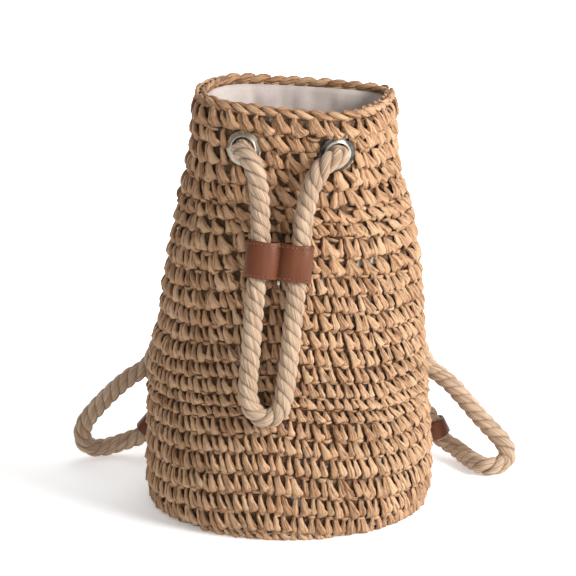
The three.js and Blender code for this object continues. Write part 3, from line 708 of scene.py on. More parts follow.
roughness = spread(tree, streaks["Streaks"], 0.3, 0.7, 0.75, 0.58)
wire(tree, shader, {"Base Color": tint, "Roughness": roughness, "Specular IOR Level": 0.35})
bump(tree, shader, streaks["Height"], 1.0, 0.0022)


def turn_of(along, out, up, lean):
    """Quaternion that sets a leg's x along the row, y into the wall and z up the wall."""
    frame_matrix = Matrix((along, -out, up)).transposed()
    return (frame_matrix @ Matrix.Rotation(lean, 3, "Y")).to_quaternion()


def marks_mesh(name, marks):
    """Points with the turn, size, shape and shade of what grows on them."""
    mesh = bpy.data.meshes.new(name)
    mesh.from_pydata([tuple(mark[0]) for mark in marks], [], [])
    columns = (("turn", "QUATERNION", "value"), ("size", "FLOAT_VECTOR", "vector"),
               ("shape", "INT", "value"), ("shade", "FLOAT", "value"))
    for column, (label, kind, field) in enumerate(columns, start=1):
        attribute = mesh.attributes.new(label, kind, "POINT")
        for index, mark in enumerate(marks):
            setattr(attribute.data[index], field, mark[column])
    return mesh


# What tells one stitch from the next: its lean in radians, its shifts and sink in mm, and
# its shade. A fully loose stitch adds these shares, and is darker by painted shade on the upper
# rows.
stitch_lean = 0.07
stitch_shift_along = 0.35
stitch_shift_up = 0.3
stitch_sink = 0.3
stitch_sink_change = 0.35
stitch_shade = 0.42
stitch_shade_change = 0.24
loose_jitter = 1.3
loose_lean = 2
loose_width = 0.28
loose_height = 0.18
upper_painted_shade = 0.3
press_flattening = 0.1


def stitch_marks(dice, place, facing, pitch, height, press=0.0, loose=0.0):
    """Marks for the two legs and the strand of one stitch. Press is how far they are pushed
    in, in mm. Loose, from 0 to 1, makes them larger and less even, and darker with painted shade."""
    along, out, up = facing
    jitter = 1 + loose_jitter * loose
    marks = []
    for part in range(3):
        lean = dice.gauss(0, stitch_lean * (1 + loose_lean * loose))
        wide = pitch / stitch_pitch * dice.uniform(0.9, 1.1) * (1 + loose_width * loose)
        tall = height / stitch_height * dice.uniform(0.95, 1.07) * (1 + loose_height * loose)
        deep = dice.uniform(0.9, 1.15) * (1 - press_flattening * press)
        sunk = press + stitch_sink + stitch_sink_change * jitter * dice.uniform(-1, 1)
        spot = place + mm * (along * dice.gauss(0, stitch_shift_along) * jitter
                             + up * dice.gauss(0, stitch_shift_up) * jitter - out * sunk)
        number = part * leg_variants + dice.randrange(leg_variants)
        # Painted shade: loose upper rows get a lower shade, which darkens their straw.
        shade = dice.gauss(stitch_shade - upper_painted_shade * loose, stitch_shade_change)
        marks.append((spot, turn_of(along, out, up, lean), (wide, deep, tall), number,
                      min(max(shade, 0.0), 1.0)))
    return marks


row_feet = [0.0]
for rows, share in row_bands:
    for _ in range(rows):
        row_feet.append(row_feet[-1] + share * bag_height)
row_count = len(row_feet) - 1

# Each row starts a little further round, wavers up and down, and the upper ones are looser and
# darker with painted shade.
stitch_drift = 0.012
row_waver = 0.8
waver_pace = 2.2
waver_row_step = 0.9
look_aside = 0.06
row_floor = 1.0
lowest_stitch = 4.2
stitch_below_middle = 6.5
loose_start_level = 0.5
loose_band = 0.3

# No stitch starts inside an eyelet's opening, and those under its flange are pressed in.
eyelet_hole = 8.9 * mm
flange_reach = 13.4 * mm
opening_radius = 9.4 * mm
opening_rise = 4.5 * mm
press_depth = 2.5
press_reach = flange_reach + 4.2 * mm
press_band = 3 * mm

stitch_seed = 7
dice = random.Random(stitch_seed)
wall_marks = []
for row in range(row_count):
    height = (row_feet[row] + row_feet[row + 1]) / 2
    tall = row_feet[row + 1] - row_feet[row]
    angles, pitch = ring_angles(height, stitch_pitch, math.pi / 2 + stitch_drift * row)
    loose = min(max((height / bag_height - loose_start_level) / loose_band, 0.0), 1.0)
    marks = []
    for angle in angles:
        real_height = row_height(angle, height)
        if real_height < lowest_stitch - stitch_below_middle:
            continue
        real_height = max(real_height, lowest_stitch * min(tall / stitch_height, 1.0))
        wave = noise.noise(Vector((waver_pace * math.cos(angle), waver_pace * math.sin(angle),
                                   row * waver_row_step)))
        place = bag_point(angle, real_height + row_waver * wave, 0)
        before, after = (
            bag_point(aside, max(row_height(aside, height), row_floor), 0)
            for aside in (angle - look_aside, angle + look_aside))
        along, out, up = bag_facing(angle, real_height)
        along = (after - before).normalized()
        out = (out - along * out.dot(along)).normalized()
        up = out.cross(along)
        press = 0.0
        seat = off_axis(place)[1]
        if seat:
            rise = abs((place - seat[0]).dot(up))
            beside = abs((place - seat[0]).dot(along))
            if math.hypot(beside, max(rise - opening_rise, 0.0)) < opening_radius:
                continue
            away = math.hypot(beside, rise)
            press = press_depth * min(max((press_reach - away) / press_band, 0.0), 1.0)
        marks += stitch_marks(dice, place, (along, out, up), pitch, tall, press, loose)
    wall_marks.append(marks)

leg_settings = {"Leg Shapes": leg_shapes, "Crumple": 0.9 * mm, "Crumple Scale": 260.0,
                "Material": straw_material}
straw_parts = [("straw_rounds_low", 0, 8), ("straw_rounds_middle", 8, 17),
               ("straw_rounds_high", 17, row_count)]
straw_pieces = []
for name, first, last in straw_parts:
    marks = [mark for row in wall_marks[first:last] for mark in row]
    piece = grow(name, marks_mesh(name, marks), leg_tree, leg_settings)
    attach(piece, "root")
    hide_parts("straw_bag")
    straw_pieces.append(piece)

# The base is worked outwards from its middle in the same stitch.
base_row = 11.5
base_first_inset = 6.5
base_eye = 12
base_tuck = 1.0
base_lift = 2.6
base_drift = 0.1
base_marks = []
base_reach = base_first_inset
while base_reach < base_half_depth - base_eye:
    share = (base_half_depth - base_reach) / base_half_depth
    circle = 2 * math.pi * share * (base_half_depth + base_half_width) / 2
    count = max(5, round(circle / stitch_pitch))
    for step in range(count):
        angle = 2 * math.pi * step / count + base_drift * base_reach
        middle = bag_point(angle, 0, 0)
        radius = middle.length - (base_reach + base_tuck) * mm
        outward = middle.normalized()
        place = outward * radius + Vector((0, 0, base_lift * mm))
        facing = (Vector((-outward.y, outward.x, 0)), Vector((0, 0, -1)), outward)
        base_marks += stitch_marks(dice, place, facing, circle / count, base_row)
    base_reach += base_row
straw_base = grow("straw_base", marks_mesh("straw_base", base_marks), leg_tree, leg_settings)
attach(straw_base, "root")
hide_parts("straw_bag")


# What would reach under the floor is pressed flat on it.
straw_foot = 0.2 * mm
for piece in (straw_pieces[0], straw_base):
    for vertex in piece.data.vertices:
        vertex.co.z = max(vertex.co.z, straw_foot)


def wall_grid(name, rings, steps):
    """A skin round the bag from rings of a height and an inset, with a floor across the
    lowest ring and round eyelet holes. An inset is a number or a function."""
    hole_band = 0.9 * mm
    vertices, faces = [], []
    for height, inset in rings:
        for step in range(steps):
            angle = 2 * math.pi * step / steps
            depth = inset(angle, height) if callable(inset) else inset
            vertices.append(bag_point(angle, height, depth))
    for ring in range(len(rings) - 1):
        for step in range(steps):
            here, beside = ring * steps + step, ring * steps + (step + 1) % steps
            faces.append((here, beside, beside + steps, here + steps))
    vertices.append(Vector((0, 0, rings[0][0] * mm)))
    for step in range(steps):
        faces.append(((step + 1) % steps, step, len(vertices) - 1))
    kept = []
    for face in faces:
        middle = sum((vertices[index] for index in face), Vector()) / len(face)
        if off_axis(middle)[0] > eyelet_hole:
            kept.append(face)
    for index, vertex in enumerate(vertices):
        away, seat = off_axis(vertex)
        if seat and 0 < away < eyelet_hole + hole_band:
            centre = seat[0] + seat[1] * (vertex - seat[0]).dot(seat[1])
            vertices[index] = centre + (vertex - centre).normalized() * eyelet_hole
    used = sorted({index for face in kept for index in face})
    number = {old: new for new, old in enumerate(used)}
    return faced_mesh(name, [vertices[old] for old in used],
                      [tuple(number[index] for index in face) for face in kept])


def thicken(piece, thickness):
    """Gives a skin its wall, inwards, as part of its mesh."""
    modifier = piece.modifiers.new("wall", "SOLIDIFY")
    modifier.thickness = thickness
    modifier.offset = -1
    piece.data = finished_mesh(piece, modifier)


# The backs of the stitches close the wall behind the legs. They carry painted shade: they are
# coloured far darker than the straw, as the shadow in the gaps between the legs, and the cloth
# glimpsed through them is darkened too.
backing_shaded_material, tree, shader = start_material("straw_backs_shaded")
place = put(tree, "ShaderNodeTexCoord").outputs["Object"]
threads = put(tree, "ShaderNodeTexNoise", {"Vector": place, "Scale": 420.0, "Detail": 3.0})
holes = put(tree, "ShaderNodeTexNoise", {"Vector": place, "Scale": 105.0, "Detail": 1.0})
tint = blend_colour(tree, spread(tree, threads.outputs[0], 0.4, 0.7), straw_gap_shadow_colour,
                    straw_back_shaded_colour)
tint = blend_colour(tree, spread(tree, holes.outputs[0], 0.66, 0.71), tint,
                    cloth_glimpse_shaded_colour)
wire(tree, shader, {"Base Color": tint, "Roughness": 0.95})
bump(tree, shader, threads.outputs[0], 0.6, 0.0008)

# Height and inset of each ring. The two lowest turn the wall into the base.
backing_inset = 3.7
backing_thickness = 2.4
backing_rows = 60
backing_steps = 144
backing_rings = [(3.2, 9.0), (6.0, 5.5)]
backing_rings += [(row_feet[-1] * row / backing_rows, backing_inset)
                  for row in range(2, backing_rows + 1)]
backing = bring_in("straw_backing", wall_grid("straw_backing", backing_rings, backing_steps))
backing.data.materials.append(backing_shaded_material)
thicken(backing, backing_thickness * mm)
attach(backing, "root")
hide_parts("straw_bag")


# Plaited rim
# The last round of the crochet lies on its side and makes a plait of long overlapping
# links round the mouth.
rim_height = 7.6
rim_link_length = 12.0
rim_middle_inset = 5.9
rim_middle = bag_height - rim_height / 2
front_link = [
    (-8.8, 0.4, 2.3, 0.7, 0.6), (-6.0, -1.6, 2.3, 1.7, 1.0), (-2.4, -2.6, 1.4, 2.5, 1.3),
    (1.8, -2.7, -0.1, 2.5, 1.3), (5.4, -1.9, -1.4, 1.8, 1.1), (8.2, 0.0, -2.0, 0.8, 0.7),
]
inner_link = [
    (-8.8, 0.4, 1.2, 0.7, 0.6), (-6.0, 1.7, 2.1, 1.7, 1.0), (-2.0, 2.6, 1.7, 2.2, 1.3),
    (2.2, 2.6, 0.5, 2.2, 1.3), (6.0, 1.7, -0.7, 1.6, 1.0), (8.6, 0.3, -1.5, 0.8, 0.6),
]
core_link = [(-7.0, 0.2, -1.5, 2.2, 2.2), (0.0, 0.2, -1.8, 2.4, 2.3), (7.0, 0.2, -1.5, 2.2, 2.2)]
link_kinds = [front_link, inner_link, core_link]
link_variants = 3
link_shapes = shape_set("link", link_kinds, link_variants, first_seed=900, seed_step=1)
link_seed = 19

dice = random.Random(link_seed)
angles, pitch = ring_angles(rim_middle, rim_link_length, -math.pi / 2)
rim_marks = []
for angle in angles:
    along, out, up = bag_facing(angle, rim_middle)
    place = bag_point(angle, rim_middle, rim_middle_inset)
    flat_out = Vector((out.x, out.y, 0)).normalized()
    rise = flat_out.cross(along).normalized()
    for kind in range(len(link_kinds)):
        turn = turn_of(along, flat_out, rise, dice.gauss(0, 0.04))
        size = (pitch / rim_link_length, dice.uniform(0.95, 1.05), dice.uniform(0.94, 1.06))
        spot = place + rise * (dice.gauss(0, 0.25) * mm)
        number = kind * link_variants + dice.randrange(link_variants)
        # Painted shade: the rim's links get a low shade, which makes the plaited rim darker than
        # the wall.
        shade = min(max(dice.gauss(0.15, 0.2), 0.0), 1.0)
        rim_marks.append((spot, turn, size, number, shade))
rim = grow("rim_links", marks_mesh("rim_links", rim_marks), leg_tree, {
    "Leg Shapes": link_shapes, "Crumple": 0.6 * mm, "Crumple Scale": 220.0,
    "Material": straw_material})
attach(rim, "root")
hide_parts("rim_plait")


# Cotton lining
# An open bag of plain light cotton, sewn to the straw under the rim. It is a little wider
# than the mouth, so it falls in soft upright folds there.
lining_inset = 7.5
lining_thickness = 0.8
lining_top = bag_height - rim_height + 1.0
lining_floor = 7.5
lining_wall_start = 24.0
fold_depth = 4.2
fold_reach = 75.0
fold_pace = 2.3
fold_drift = 0.012
fold_sharpness = 2.2
fold_at_floor = 0.15
fold_at_seam = 0.25
sewn_band = 7.0
cloth_colour = (0.465, 0.40, 0.365, 1.0)
cloth_pale_colour = (0.555, 0.485, 0.45, 1.0)
cloth_stain_colour = (0.34, 0.285, 0.255, 1.0)

lining_material, tree, shader = start_material("cotton_cloth")
place = put(tree, "ShaderNodeTexCoord").outputs["Object"]
weave = put(tree, "ShaderNodeTexNoise", {"Vector": vector_sums(
    tree, "MULTIPLY", place, (2600.0, 2600.0, 1300.0)), "Scale": 1.0, "Detail": 2.0})
stain = put(tree, "ShaderNodeTexNoise", {"Vector": place, "Scale": 34.0, "Detail": 2.0})
tint = blend_colour(tree, spread(tree, weave.outputs[0], 0.35, 0.65), cloth_colour,
                    cloth_pale_colour)
tint = blend_colour(tree, spread(tree, stain.outputs[0], 0.45, 0.65, 0.0, 0.6), tint,
                    cloth_stain_colour)
wire(tree, shader, {"Base Color": tint, "Roughness": 0.9, "Sheen Weight": 0.2})
bump(tree, shader, weave.outputs[0], 0.5, 0.0003)


def fold(angle, height):
    """How far the cloth stands in from the straw. It is held flat where it is sewn."""
    near_top = min(max(1 - (lining_top - height) / fold_reach, 0.0), 1.0)
    spot = Vector((fold_pace * math.cos(angle), fold_pace * math.sin(angle), height * fold_drift))
    waves = noise.noise(spot * 1.5) + 0.6 * noise.noise(spot * 3.1 + Vector((7, 3, 1)))
    soft = 0.5 + 0.5 * math.tanh(fold_sharpness * waves)
    sewn = min(max((lining_top - height) / sewn_band, fold_at_seam), 1.0)
    deep = fold_at_floor + (1 - fold_at_floor) * near_top
    return lining_inset + fold_depth * soft * deep * sewn


# The two lowest rings turn the cloth into its floor.
lining_rows = 64
lining_steps = 168
lining_rings = [(lining_floor, lining_inset + 6.0), (lining_floor + 1.5, lining_inset + 3.0),
                (14.0, fold), (lining_wall_start, fold)]
lining_rings += [
    (lining_wall_start + (lining_top - lining_wall_start) * row / lining_rows, fold)
    for row in range(1, lining_rows + 1)]
lining = bring_in("lining", wall_grid("lining", lining_rings, lining_steps))
lining.data.materials.append(lining_material)
thicken(lining, lining_thickness * mm)
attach(lining, "root")
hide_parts("cotton_lining")


# Leather keeper and sleeves
# Bands of brown leather, cut straight, bent round the rope and sewn with brown thread. The
# keeper holds both runs of the front loop, and a sleeve sits low on each shoulder strap.
leather_thickness = 1.6
keeper_width = 45.0
keeper_height = 24.8
keeper_play = 1.2
keeper_half_depth = rope_thickness / 2 + keeper_play + leather_thickness
keeper_waist = 3.6
sleeve_length = 12.5
sleeve_play = 0.75
sleeve_radius = rope_thickness / 2 + sleeve_play + leather_thickness
sleeve_flap = 8.0
leather_colour = (0.115, 0.027, 0.004, 1.0)
leather_pale_colour = (0.235, 0.058, 0.009, 1.0)
leather_pore_colour = (0.075, 0.017, 0.003, 1.0)
leather_edge_colour = (0.12, 0.036, 0.014, 1.0)

leather_material, tree, shader = start_material("brown_leather")
place = put(tree, "ShaderNodeTexCoord").outputs["Object"]
grain = put(tree, "ShaderNodeTexVoronoi", {"Vector": place, "Scale": 1500.0},
            feature="SMOOTH_F1")
clouds = put(tree, "ShaderNodeTexNoise", {"Vector": place, "Scale": 75.0, "Detail": 4.0})
worn = put(tree, "ShaderNodeAttribute", attribute_name="edge").outputs["Fac"]
tint = blend_colour(tree, spread(tree, clouds.outputs[0], 0.35, 0.68), leather_colour,
                    leather_pale_colour)
tint = blend_colour(tree, spread(tree, grain.outputs[0], 0.0, 0.5, 0.25, 0.0), tint,
                    leather_pore_colour)
tint = blend_colour(tree, spread(tree, worn, 0.5, 1.0, 0.0, 0.85), tint, leather_edge_colour)
roughness = spread(tree, clouds.outputs[0], 0.3, 0.7, 0.3, 0.44)
wire(tree, shader, {"Base Color": tint, "Roughness": roughness, "Specular IOR Level": 0.3})
bump(tree, shader, sums(tree, "ADD", sums(tree, "MULTIPLY", grain.outputs[0], 0.6),
                        clouds.outputs[0]), 0.35, 0.0005)

thread_material, tree, shader = start_material("brown_thread")
place = put(tree, "ShaderNodeTexCoord").outputs["Object"]
twist = put(tree, "ShaderNodeTexNoise", {"Vector": place, "Scale": 2600.0, "Detail": 1.0})
tint = blend_colour(tree, twist.outputs[0], (0.07, 0.018, 0.005, 1.0), (0.32, 0.11, 0.045, 1.0))
wire(tree, shader, {"Base Color": tint, "Roughness": 0.6})


def leather_band(name, path, closed, width, to_place):
    """A band with rounded edges along a flat path. The path's points are in mm in the
    plane across the rope, and to_place takes (x, y, z) to the bag's frame."""
    edge_rounding = 0.9
    edge_waver = 0.25
    worn_width = 1.3
    half = leather_thickness / 2
    round_by = half * edge_rounding
    profile = []
    for corner_x, corner_y, first in ((1, 1, 0), (-1, 1, 90), (-1, -1, 180), (1, -1, 270)):
        for step in range(4):
            turn = math.radians(first + 30 * step)
            profile.append((
                corner_x * (width / 2 - round_by) + round_by * math.cos(turn),
                corner_y * (half - round_by) + round_by * math.sin(turn)))
    vertices, faces, edges = [], [], []
    count = len(path)
    for index, point in enumerate(path):
        before = path[index - 1] if closed or index else point
        after = path[(index + 1) % count] if closed or index < count - 1 else point
        forward = (Vector(after) - Vector(before)).normalized()
        outward = Vector((forward.y, -forward.x))
        for up, out in profile:
            wave = edge_waver * math.sin(index * 0.5 + up * 0.2) * (abs(up) / (width / 2)) ** 4
            spot = Vector(point) + outward * out
            vertices.append(to_place(spot.x, spot.y, up + wave))
            edges.append(1.0 if abs(up) > width / 2 - worn_width else 0.0)
    size = len(profile)
    for index in range(count if closed else count - 1):
        this_ring, next_ring = index * size, ((index + 1) % count) * size
        for side in range(size):
            beside = (side + 1) % size
            faces.append((this_ring + side, next_ring + side, next_ring + beside,
                          this_ring + beside))
    if not closed:
        faces.append(tuple(range(size)))
        faces.append(tuple(reversed(range((count - 1) * size, count * size))))
    mesh = faced_mesh(name, vertices, faces)
    attribute = mesh.attributes.new("edge", "FLOAT", "POINT")
    for index, value in enumerate(edges):
        attribute.data[index].value = value
    mesh.materials.append(leather_material)
    return mesh


def stitches_mesh(name, stitches, radius, material=thread_material):
    """Sewn stitches, each a short thread that dips into the leather at both ends."""
    steps = 4
    sides = 6
    vertices, faces = [], []
    for start, end, out in stitches:
        forward = (end - start).normalized()
        beside = forward.cross(out).normalized()
        first = len(vertices)
        for step in range(steps + 1):
            share = step / steps
            lift = radius * (0.9 - 2.6 * (2 * share - 1) ** 4)
            spot = start.lerp(end, share) + out * lift
            thick = radius * (1.0 if 0 < step < steps else 0.6)
            for side in range(sides):
                turn = 2 * math.pi * side / sides
                vertices.append(spot + beside * (math.cos(turn) * thick)
                                + out * (math.sin(turn) * thick))
        for ring in range(first, first + steps * sides, sides):
            for side in range(sides):
                here, next_side = ring + side, ring + (side + 1) % sides
                faces.append((here, here + sides, next_side + sides, next_side))
        faces.append(tuple(range(first, first + sides)))
        faces.append(tuple(reversed(range(len(vertices) - sides, len(vertices)))))
    mesh = faced_mesh(name, vertices, faces)
    mesh.materials.append(material)
    return mesh


def add_piece(name, mesh):
    """Puts a mesh in the scene as a piece that rides on the bag."""
    piece = bring_in(name, mesh)
    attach(piece, "root")
    return piece


def placing(middle, side, deep, up):
    """A function that takes a band's own x across, y back and z up to the bag's frame."""
    return lambda x, y, z: middle + (side * x + deep * y + up * z) * mm


# Where the two runs of rope pass through the keeper, and the way they run there.
keeper_left = Vector((-20.15, -82.0, 193.95))
keeper_right = Vector((6.65, -83.0, 193.95))
keeper_middle = keeper_left.lerp(keeper_right, 0.5) * mm
keeper_up = Vector((2.7, 5.0, 26.5)).normalized()
keeper_deep = keeper_up.cross(keeper_right - keeper_left).normalized()
keeper_side = keeper_deep.cross(keeper_up)
keeper_place = placing(keeper_middle, keeper_side, keeper_deep, keeper_up)


def keeper_outline(steps):
    """Middle of the leather's thickness round both runs of rope, pinched where it is sewn."""
    boxiness = 2.1
    tube = keeper_width / 4
    points = []
    for facing in (-1, 1):
        for step in range(steps):
            turn = math.pi * step / steps
            across = -math.cos(turn) * (keeper_width / 2 - leather_thickness / 2)
            share = min(abs(abs(across) - tube) / tube, 1.0)
            bulge = (keeper_half_depth - leather_thickness / 2) * (
                1 - share ** boxiness) ** (1 / boxiness)
            if abs(across) < tube:
                bulge = (bulge ** 3 + keeper_waist ** 3) ** (1 / 3)
            points.append((-facing * across, facing * bulge * 0.98))
    return points


keeper_path = keeper_outline(44)
keeper = add_piece("keeper_band", leather_band(
    "keeper_band", keeper_path, True, keeper_height, keeper_place))
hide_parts("front_keeper")

# One upright seam between the tubes, three bars across its top, and a row along each edge.
# The ends of a bar stand out further than its middle, where the tubes begin to bulge.
seam_front = -(keeper_waist + leather_thickness / 2)
seam_margin = 1.6
seam_pitch = 2.5
seam_stitch = 2.1
bar_drop = 5.2
bar_pitch = 1.25
bar_reach = 3.2
bar_lift = 0.7
edge_margin = 2.0
side_margin = 1.2
seam = []
for step in range(9):
    foot = -keeper_height / 2 + seam_margin + seam_pitch * step
    seam.append((keeper_place(0.2, seam_front, foot),
                 keeper_place(-0.2, seam_front, foot + seam_stitch), -keeper_deep))
for step in range(3):
    rise = keeper_height / 2 - bar_drop + bar_pitch * step
    bar_middle = keeper_place(0, seam_front, rise)
    bar_left, bar_right = (
        keeper_place(end, seam_front - bar_lift, rise) for end in (-bar_reach, bar_reach))
    seam.append((bar_left, bar_middle, -keeper_deep))
    seam.append((bar_middle, bar_right, -keeper_deep))
front_path = sorted(
    (x, y) for x, y in keeper_path if y < 0 and abs(x) < keeper_width / 2 - side_margin)
for height in (-keeper_height / 2 + edge_margin, keeper_height / 2 - edge_margin):
    for (x, y), (next_x, next_y) in zip(front_path[::2], front_path[1::2]):
        reach = Vector((next_x - x, next_y - y)).normalized()
        outward = keeper_side * reach.y - keeper_deep * reach.x
        lift = Vector((reach.y, -reach.x)) * (leather_thickness / 2)
        seam.append((keeper_place(x + lift.x, y + lift.y, height),
                     keeper_place(next_x + lift.x, next_y + lift.y, height), outward))
keeper_sewing = add_piece("keeper_sewing", stitches_mesh("keeper_sewing", seam, 0.42 * mm))

# The seam's knot shows as a pale thread end under the leather.
pale_thread_material, tree, shader = start_material("pale_thread")
wire(tree, shader, {"Base Color": (0.52, 0.50, 0.47, 1.0), "Roughness": 0.8})
thread_end = [(keeper_place(1.2, seam_front + 0.6, -keeper_height / 2 + 0.6),
               keeper_place(1.5, seam_front + 0.9, -keeper_height / 2 - 3.2), -keeper_deep)]
keeper_thread_end = add_piece("keeper_thread_end", stitches_mesh(
    "keeper_thread_end", thread_end, 1.0 * mm, pale_thread_material))

# Each sleeve: its name, where the rope comes out of its outer and inner end, the way its
# sewn flap points, and the node that it stands for.
sleeves = [
    ("sleeve_left", (-108.2, 83.3, 17.1), (-97.8, 82.7, 29.7), (0.4, 0.2, -0.4),
     "strap_sleeve_left"),
    ("sleeve_right", (113.2, 80, 15.2), (106, 80.5, 29.8), (-0.7, 0.0, -0.4),
     "strap_sleeve_right"),
]
flap_step = 2.0
flap_points = 4
wrap_steps = 36
flap_seam = 5.0
flap_margin = 1.4
flap_pitch = 2.3
flap_stitch = 1.9
sleeve_bend = sleeve_radius - leather_thickness / 2
flap_gap = leather_thickness * 0.52
flap_face = flap_gap + leather_thickness / 2
wrap_first = math.asin(flap_gap / sleeve_bend)
wrap_arc = 2 * math.pi - 2 * wrap_first

# The leather goes in along one flap, round the rope and out along the other.
sleeve_path = [
    (sleeve_bend + sleeve_flap - flap_step * step, flap_gap) for step in range(flap_points)]
for step in range(1, wrap_steps):
    turn = wrap_first + wrap_arc * step / wrap_steps
    sleeve_path.append((sleeve_bend * math.cos(turn), sleeve_bend * math.sin(turn)))
sleeve_path += [
    (sleeve_bend + flap_step + flap_step * step, -flap_gap) for step in range(flap_points)]

for name, outer, inner, flap_way, node in sleeves:
    outer, inner = Vector(outer), Vector(inner)
    up = (inner - outer).normalized()
    deep = up.cross(Vector(flap_way)).normalized()
    sleeve_place = placing(outer.lerp(inner, 0.5) * mm, deep.cross(up), deep, up)
    band = add_piece(name, leather_band(name, sleeve_path, False, sleeve_length, sleeve_place))
    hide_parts(node)
    rows = []
    for facing in (-1, 1):
        for step in range(6):
            foot = -sleeve_length / 2 + flap_margin + flap_pitch * step
            start, end = (sleeve_place(sleeve_bend + flap_seam, facing * flap_face, rise)
                          for rise in (foot, foot + flap_stitch))
            rows.append((start, end, deep * facing))
    sewing = add_piece(name + "_sewing", stitches_mesh(name + "_sewing", rows, 0.4 * mm))


# Eyelets
# Two-part eyelets of pewter-coloured metal, pressed through straw and lining: a wide flange
# with a rolled lip outside, a barrel, and a washer inside. Those on the left at the mouth are
# worn pale, and the others have gone dark.
bore_radius = 7.7
barrel_radius = 8.6
flange_radius = 12.6
washer_reach = 10.0
washer_top = -11.1
pewter_tones = {
    "pewter_worn": ((0.31, 0.265, 0.205, 1.0), (0.54, 0.47, 0.375, 1.0)),
    "pewter_dark": ((0.045, 0.044, 0.042, 1.0), (0.15, 0.145, 0.132, 1.0)),
}
pewter_lip_colour = (0.66, 0.60, 0.50, 1.0)

eyelet_materials = {}
for finish, (deep_tone, pale_tone) in pewter_tones.items():
    material, tree, shader = start_material(finish)
    eyelet_materials[finish] = material
    place = put(tree, "ShaderNodeTexCoord").outputs["Object"]
    smudge = put(tree, "ShaderNodeTexNoise", {"Vector": place, "Scale": 320.0, "Detail": 4.0})
    scratch = put(tree, "ShaderNodeTexNoise", {"Vector": vector_sums(
        tree, "MULTIPLY", place, (300.0, 300.0, 3000.0)), "Scale": 1.0, "Detail": 2.0})
    tint = blend_colour(tree, spread(tree, smudge.outputs[0], 0.35, 0.7), deep_tone, pale_tone)
    pale_lip = put(tree, "ShaderNodeAttribute", attribute_name="pale_lip").outputs["Fac"]
    tint = blend_colour(tree, spread(tree, pale_lip, 0.0, 1.0, 0.0, 0.85), tint,
                        pewter_lip_colour)
    roughness = spread(tree, smudge.outputs[0], 0.3, 0.7, 0.42, 0.24)
    wire(tree, shader, {"Base Color": tint, "Metallic": 1.0, "Roughness": roughness})
    bump(tree, shader, scratch.outputs[0], 0.12, 0.0003)

# Distance from the axis and height over the seat, in mm, round the section.
eyelet_profile = [
    (bore_radius, washer_top - 1.1), (washer_reach - 0.3, washer_top - 1.2),
    (washer_reach, washer_top - 0.6), (washer_reach - 0.3, washer_top),
    (barrel_radius, washer_top), (barrel_radius, -0.1), (flange_radius - 0.4, -0.2),
    (flange_radius, 0.15), (flange_radius - 0.35, 0.7), (flange_radius - 1.2, 1.05),
    (flange_radius - 2.6, 1.35), (barrel_radius + 1.0, 1.6), (barrel_radius + 0.6, 1.75),
    (barrel_radius + 0.35, 2.15), (barrel_radius - 0.05, 2.4), (barrel_radius - 0.5, 2.3),
    (bore_radius, 1.7), (bore_radius, 0.8), (bore_radius, -3.0), (bore_radius, -7.0),
]
eyelet_sides = 64
# The inner lip of each eyelet is paler than the rest of it.
pale_lip_radius = barrel_radius + 0.7
pale_lip_rise = 0.5
for name, (middle, out) in eyelet_seats.items():
    side = out.cross(Vector((0, 0, 1))).normalized()
    up = side.cross(out)
    vertices, faces, pale_lip_spots = [], [], []
    size = len(eyelet_profile)
    for step in range(eyelet_sides):
        turn = 2 * math.pi * step / eyelet_sides
        spoke = side * math.cos(turn) + up * math.sin(turn)
        this_ring, next_ring = step * size, (step + 1) % eyelet_sides * size
        for spot, (radius, rise) in enumerate(eyelet_profile):
            beyond = (spot + 1) % size
            vertices.append(middle + (spoke * radius + out * rise) * mm)
            pale_lip_spots.append(float(radius < pale_lip_radius and rise > pale_lip_rise))
            faces.append((this_ring + spot, this_ring + beyond, next_ring + beyond,
                          next_ring + spot))
    mesh = faced_mesh("eyelet_ring_" + name, vertices, faces)
    attribute = mesh.attributes.new("pale_lip", "FLOAT", "POINT")
    for index, value in enumerate(pale_lip_spots):
        attribute.data[index].value = value
    mesh.materials.append(eyelet_materials[
        "pewter_worn" if name in ("front_left", "back_left") else "pewter_dark"])
    eyelet = add_piece("eyelet_ring_" + name, mesh)
    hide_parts("eyelet_" + name)
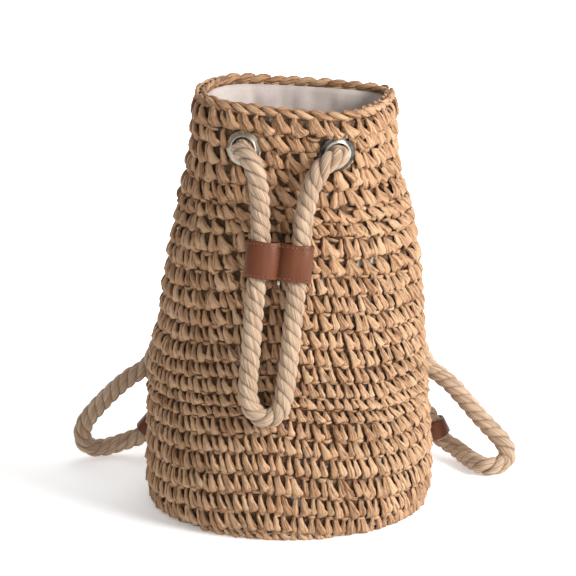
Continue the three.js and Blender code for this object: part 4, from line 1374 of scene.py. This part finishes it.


# Studio
# A white paper sweep that runs up well behind the bag, a strong soft light on the right, and
# weak ones in front and above. The paper glows with painted light: weakly near the bag, where
# it lightens the shadows on the floor, and more towards its far end, as where lights of its own
# shine on it.
sweep_material, tree, shader = start_material("white_paper")
place = put(tree, "ShaderNodeTexCoord").outputs["Object"]
paper = put(tree, "ShaderNodeTexNoise", {"Vector": place, "Scale": 3.0, "Detail": 2.0})
tint = blend_colour(tree, paper.outputs[0], (0.90, 0.90, 0.90, 1.0), (0.93, 0.93, 0.93, 1.0))
depth_place = put(tree, "ShaderNodeSeparateXYZ", {0: place}).outputs[1]
# Painted light: the paper itself glows, weakly near the bag and strongly at its far end.
painted_glow = spread(tree, depth_place, -0.05, 0.5, 0.21, 0.9)
painted_glow_colour = put(tree, "ShaderNodeCombineColor", {0: painted_glow, 1: painted_glow, 2: painted_glow}).outputs[0]
wire(tree, shader, {"Base Color": tint, "Roughness": 0.95, "Emission Color": painted_glow_colour,
                    "Emission Strength": 1.0})

sweep_front = -3.5
sweep_bend_start = 3.4
sweep_bend = 0.8
sweep_top = 5.5
sweep_half_width = 4.5
sweep_profile = [(sweep_front, 0.0), (sweep_bend_start, 0.0)]
for step in range(1, 11):
    turn = math.radians(9 * step)
    sweep_profile.append((sweep_bend_start + sweep_bend * math.sin(turn),
                          sweep_bend - sweep_bend * math.cos(turn)))
sweep_profile.append((sweep_bend_start + sweep_bend, sweep_top))
vertices = [(x, y, z) for y, z in sweep_profile for x in (-sweep_half_width, sweep_half_width)]
faces = [(2 * step, 2 * step + 1, 2 * step + 3, 2 * step + 2)
         for step in range(len(sweep_profile) - 1)]
sweep = bring_in("paper_sweep", faced_mesh("paper_sweep", vertices, faces))
sweep.data.materials.append(sweep_material)

world = bpy.data.worlds.new("studio")
world.use_nodes = True
wire(world.node_tree, world.node_tree.nodes["Background"],
     {"Color": (1.0, 1.0, 1.0, 1.0), "Strength": 0.37})
bpy.context.scene.world = world
bpy.context.scene.view_settings.view_transform = "Standard"

# Name, place, size and power of each light. All face the middle of the bag.
lit_point = Vector((0, 0, 0.14))
for name, spot, size, power in (
        ("soft_right", (1.8, -1.1, 1.2), 0.9, 73.0),
        ("soft_front", (0.2, -2.1, 1.0), 1.0, 7.0),
        ("soft_top", (0.3, 0.9, 2.0), 1.2, 7.0)):
    light_data = bpy.data.lights.new(name, "AREA")
    light_data.shape = "DISK"
    light_data.size = size
    light_data.energy = power
    light = bring_in(name, light_data)
    light.location = spot
    light.rotation_euler = (lit_point - Vector(spot)).to_track_quat("-Z", "Y").to_euler()
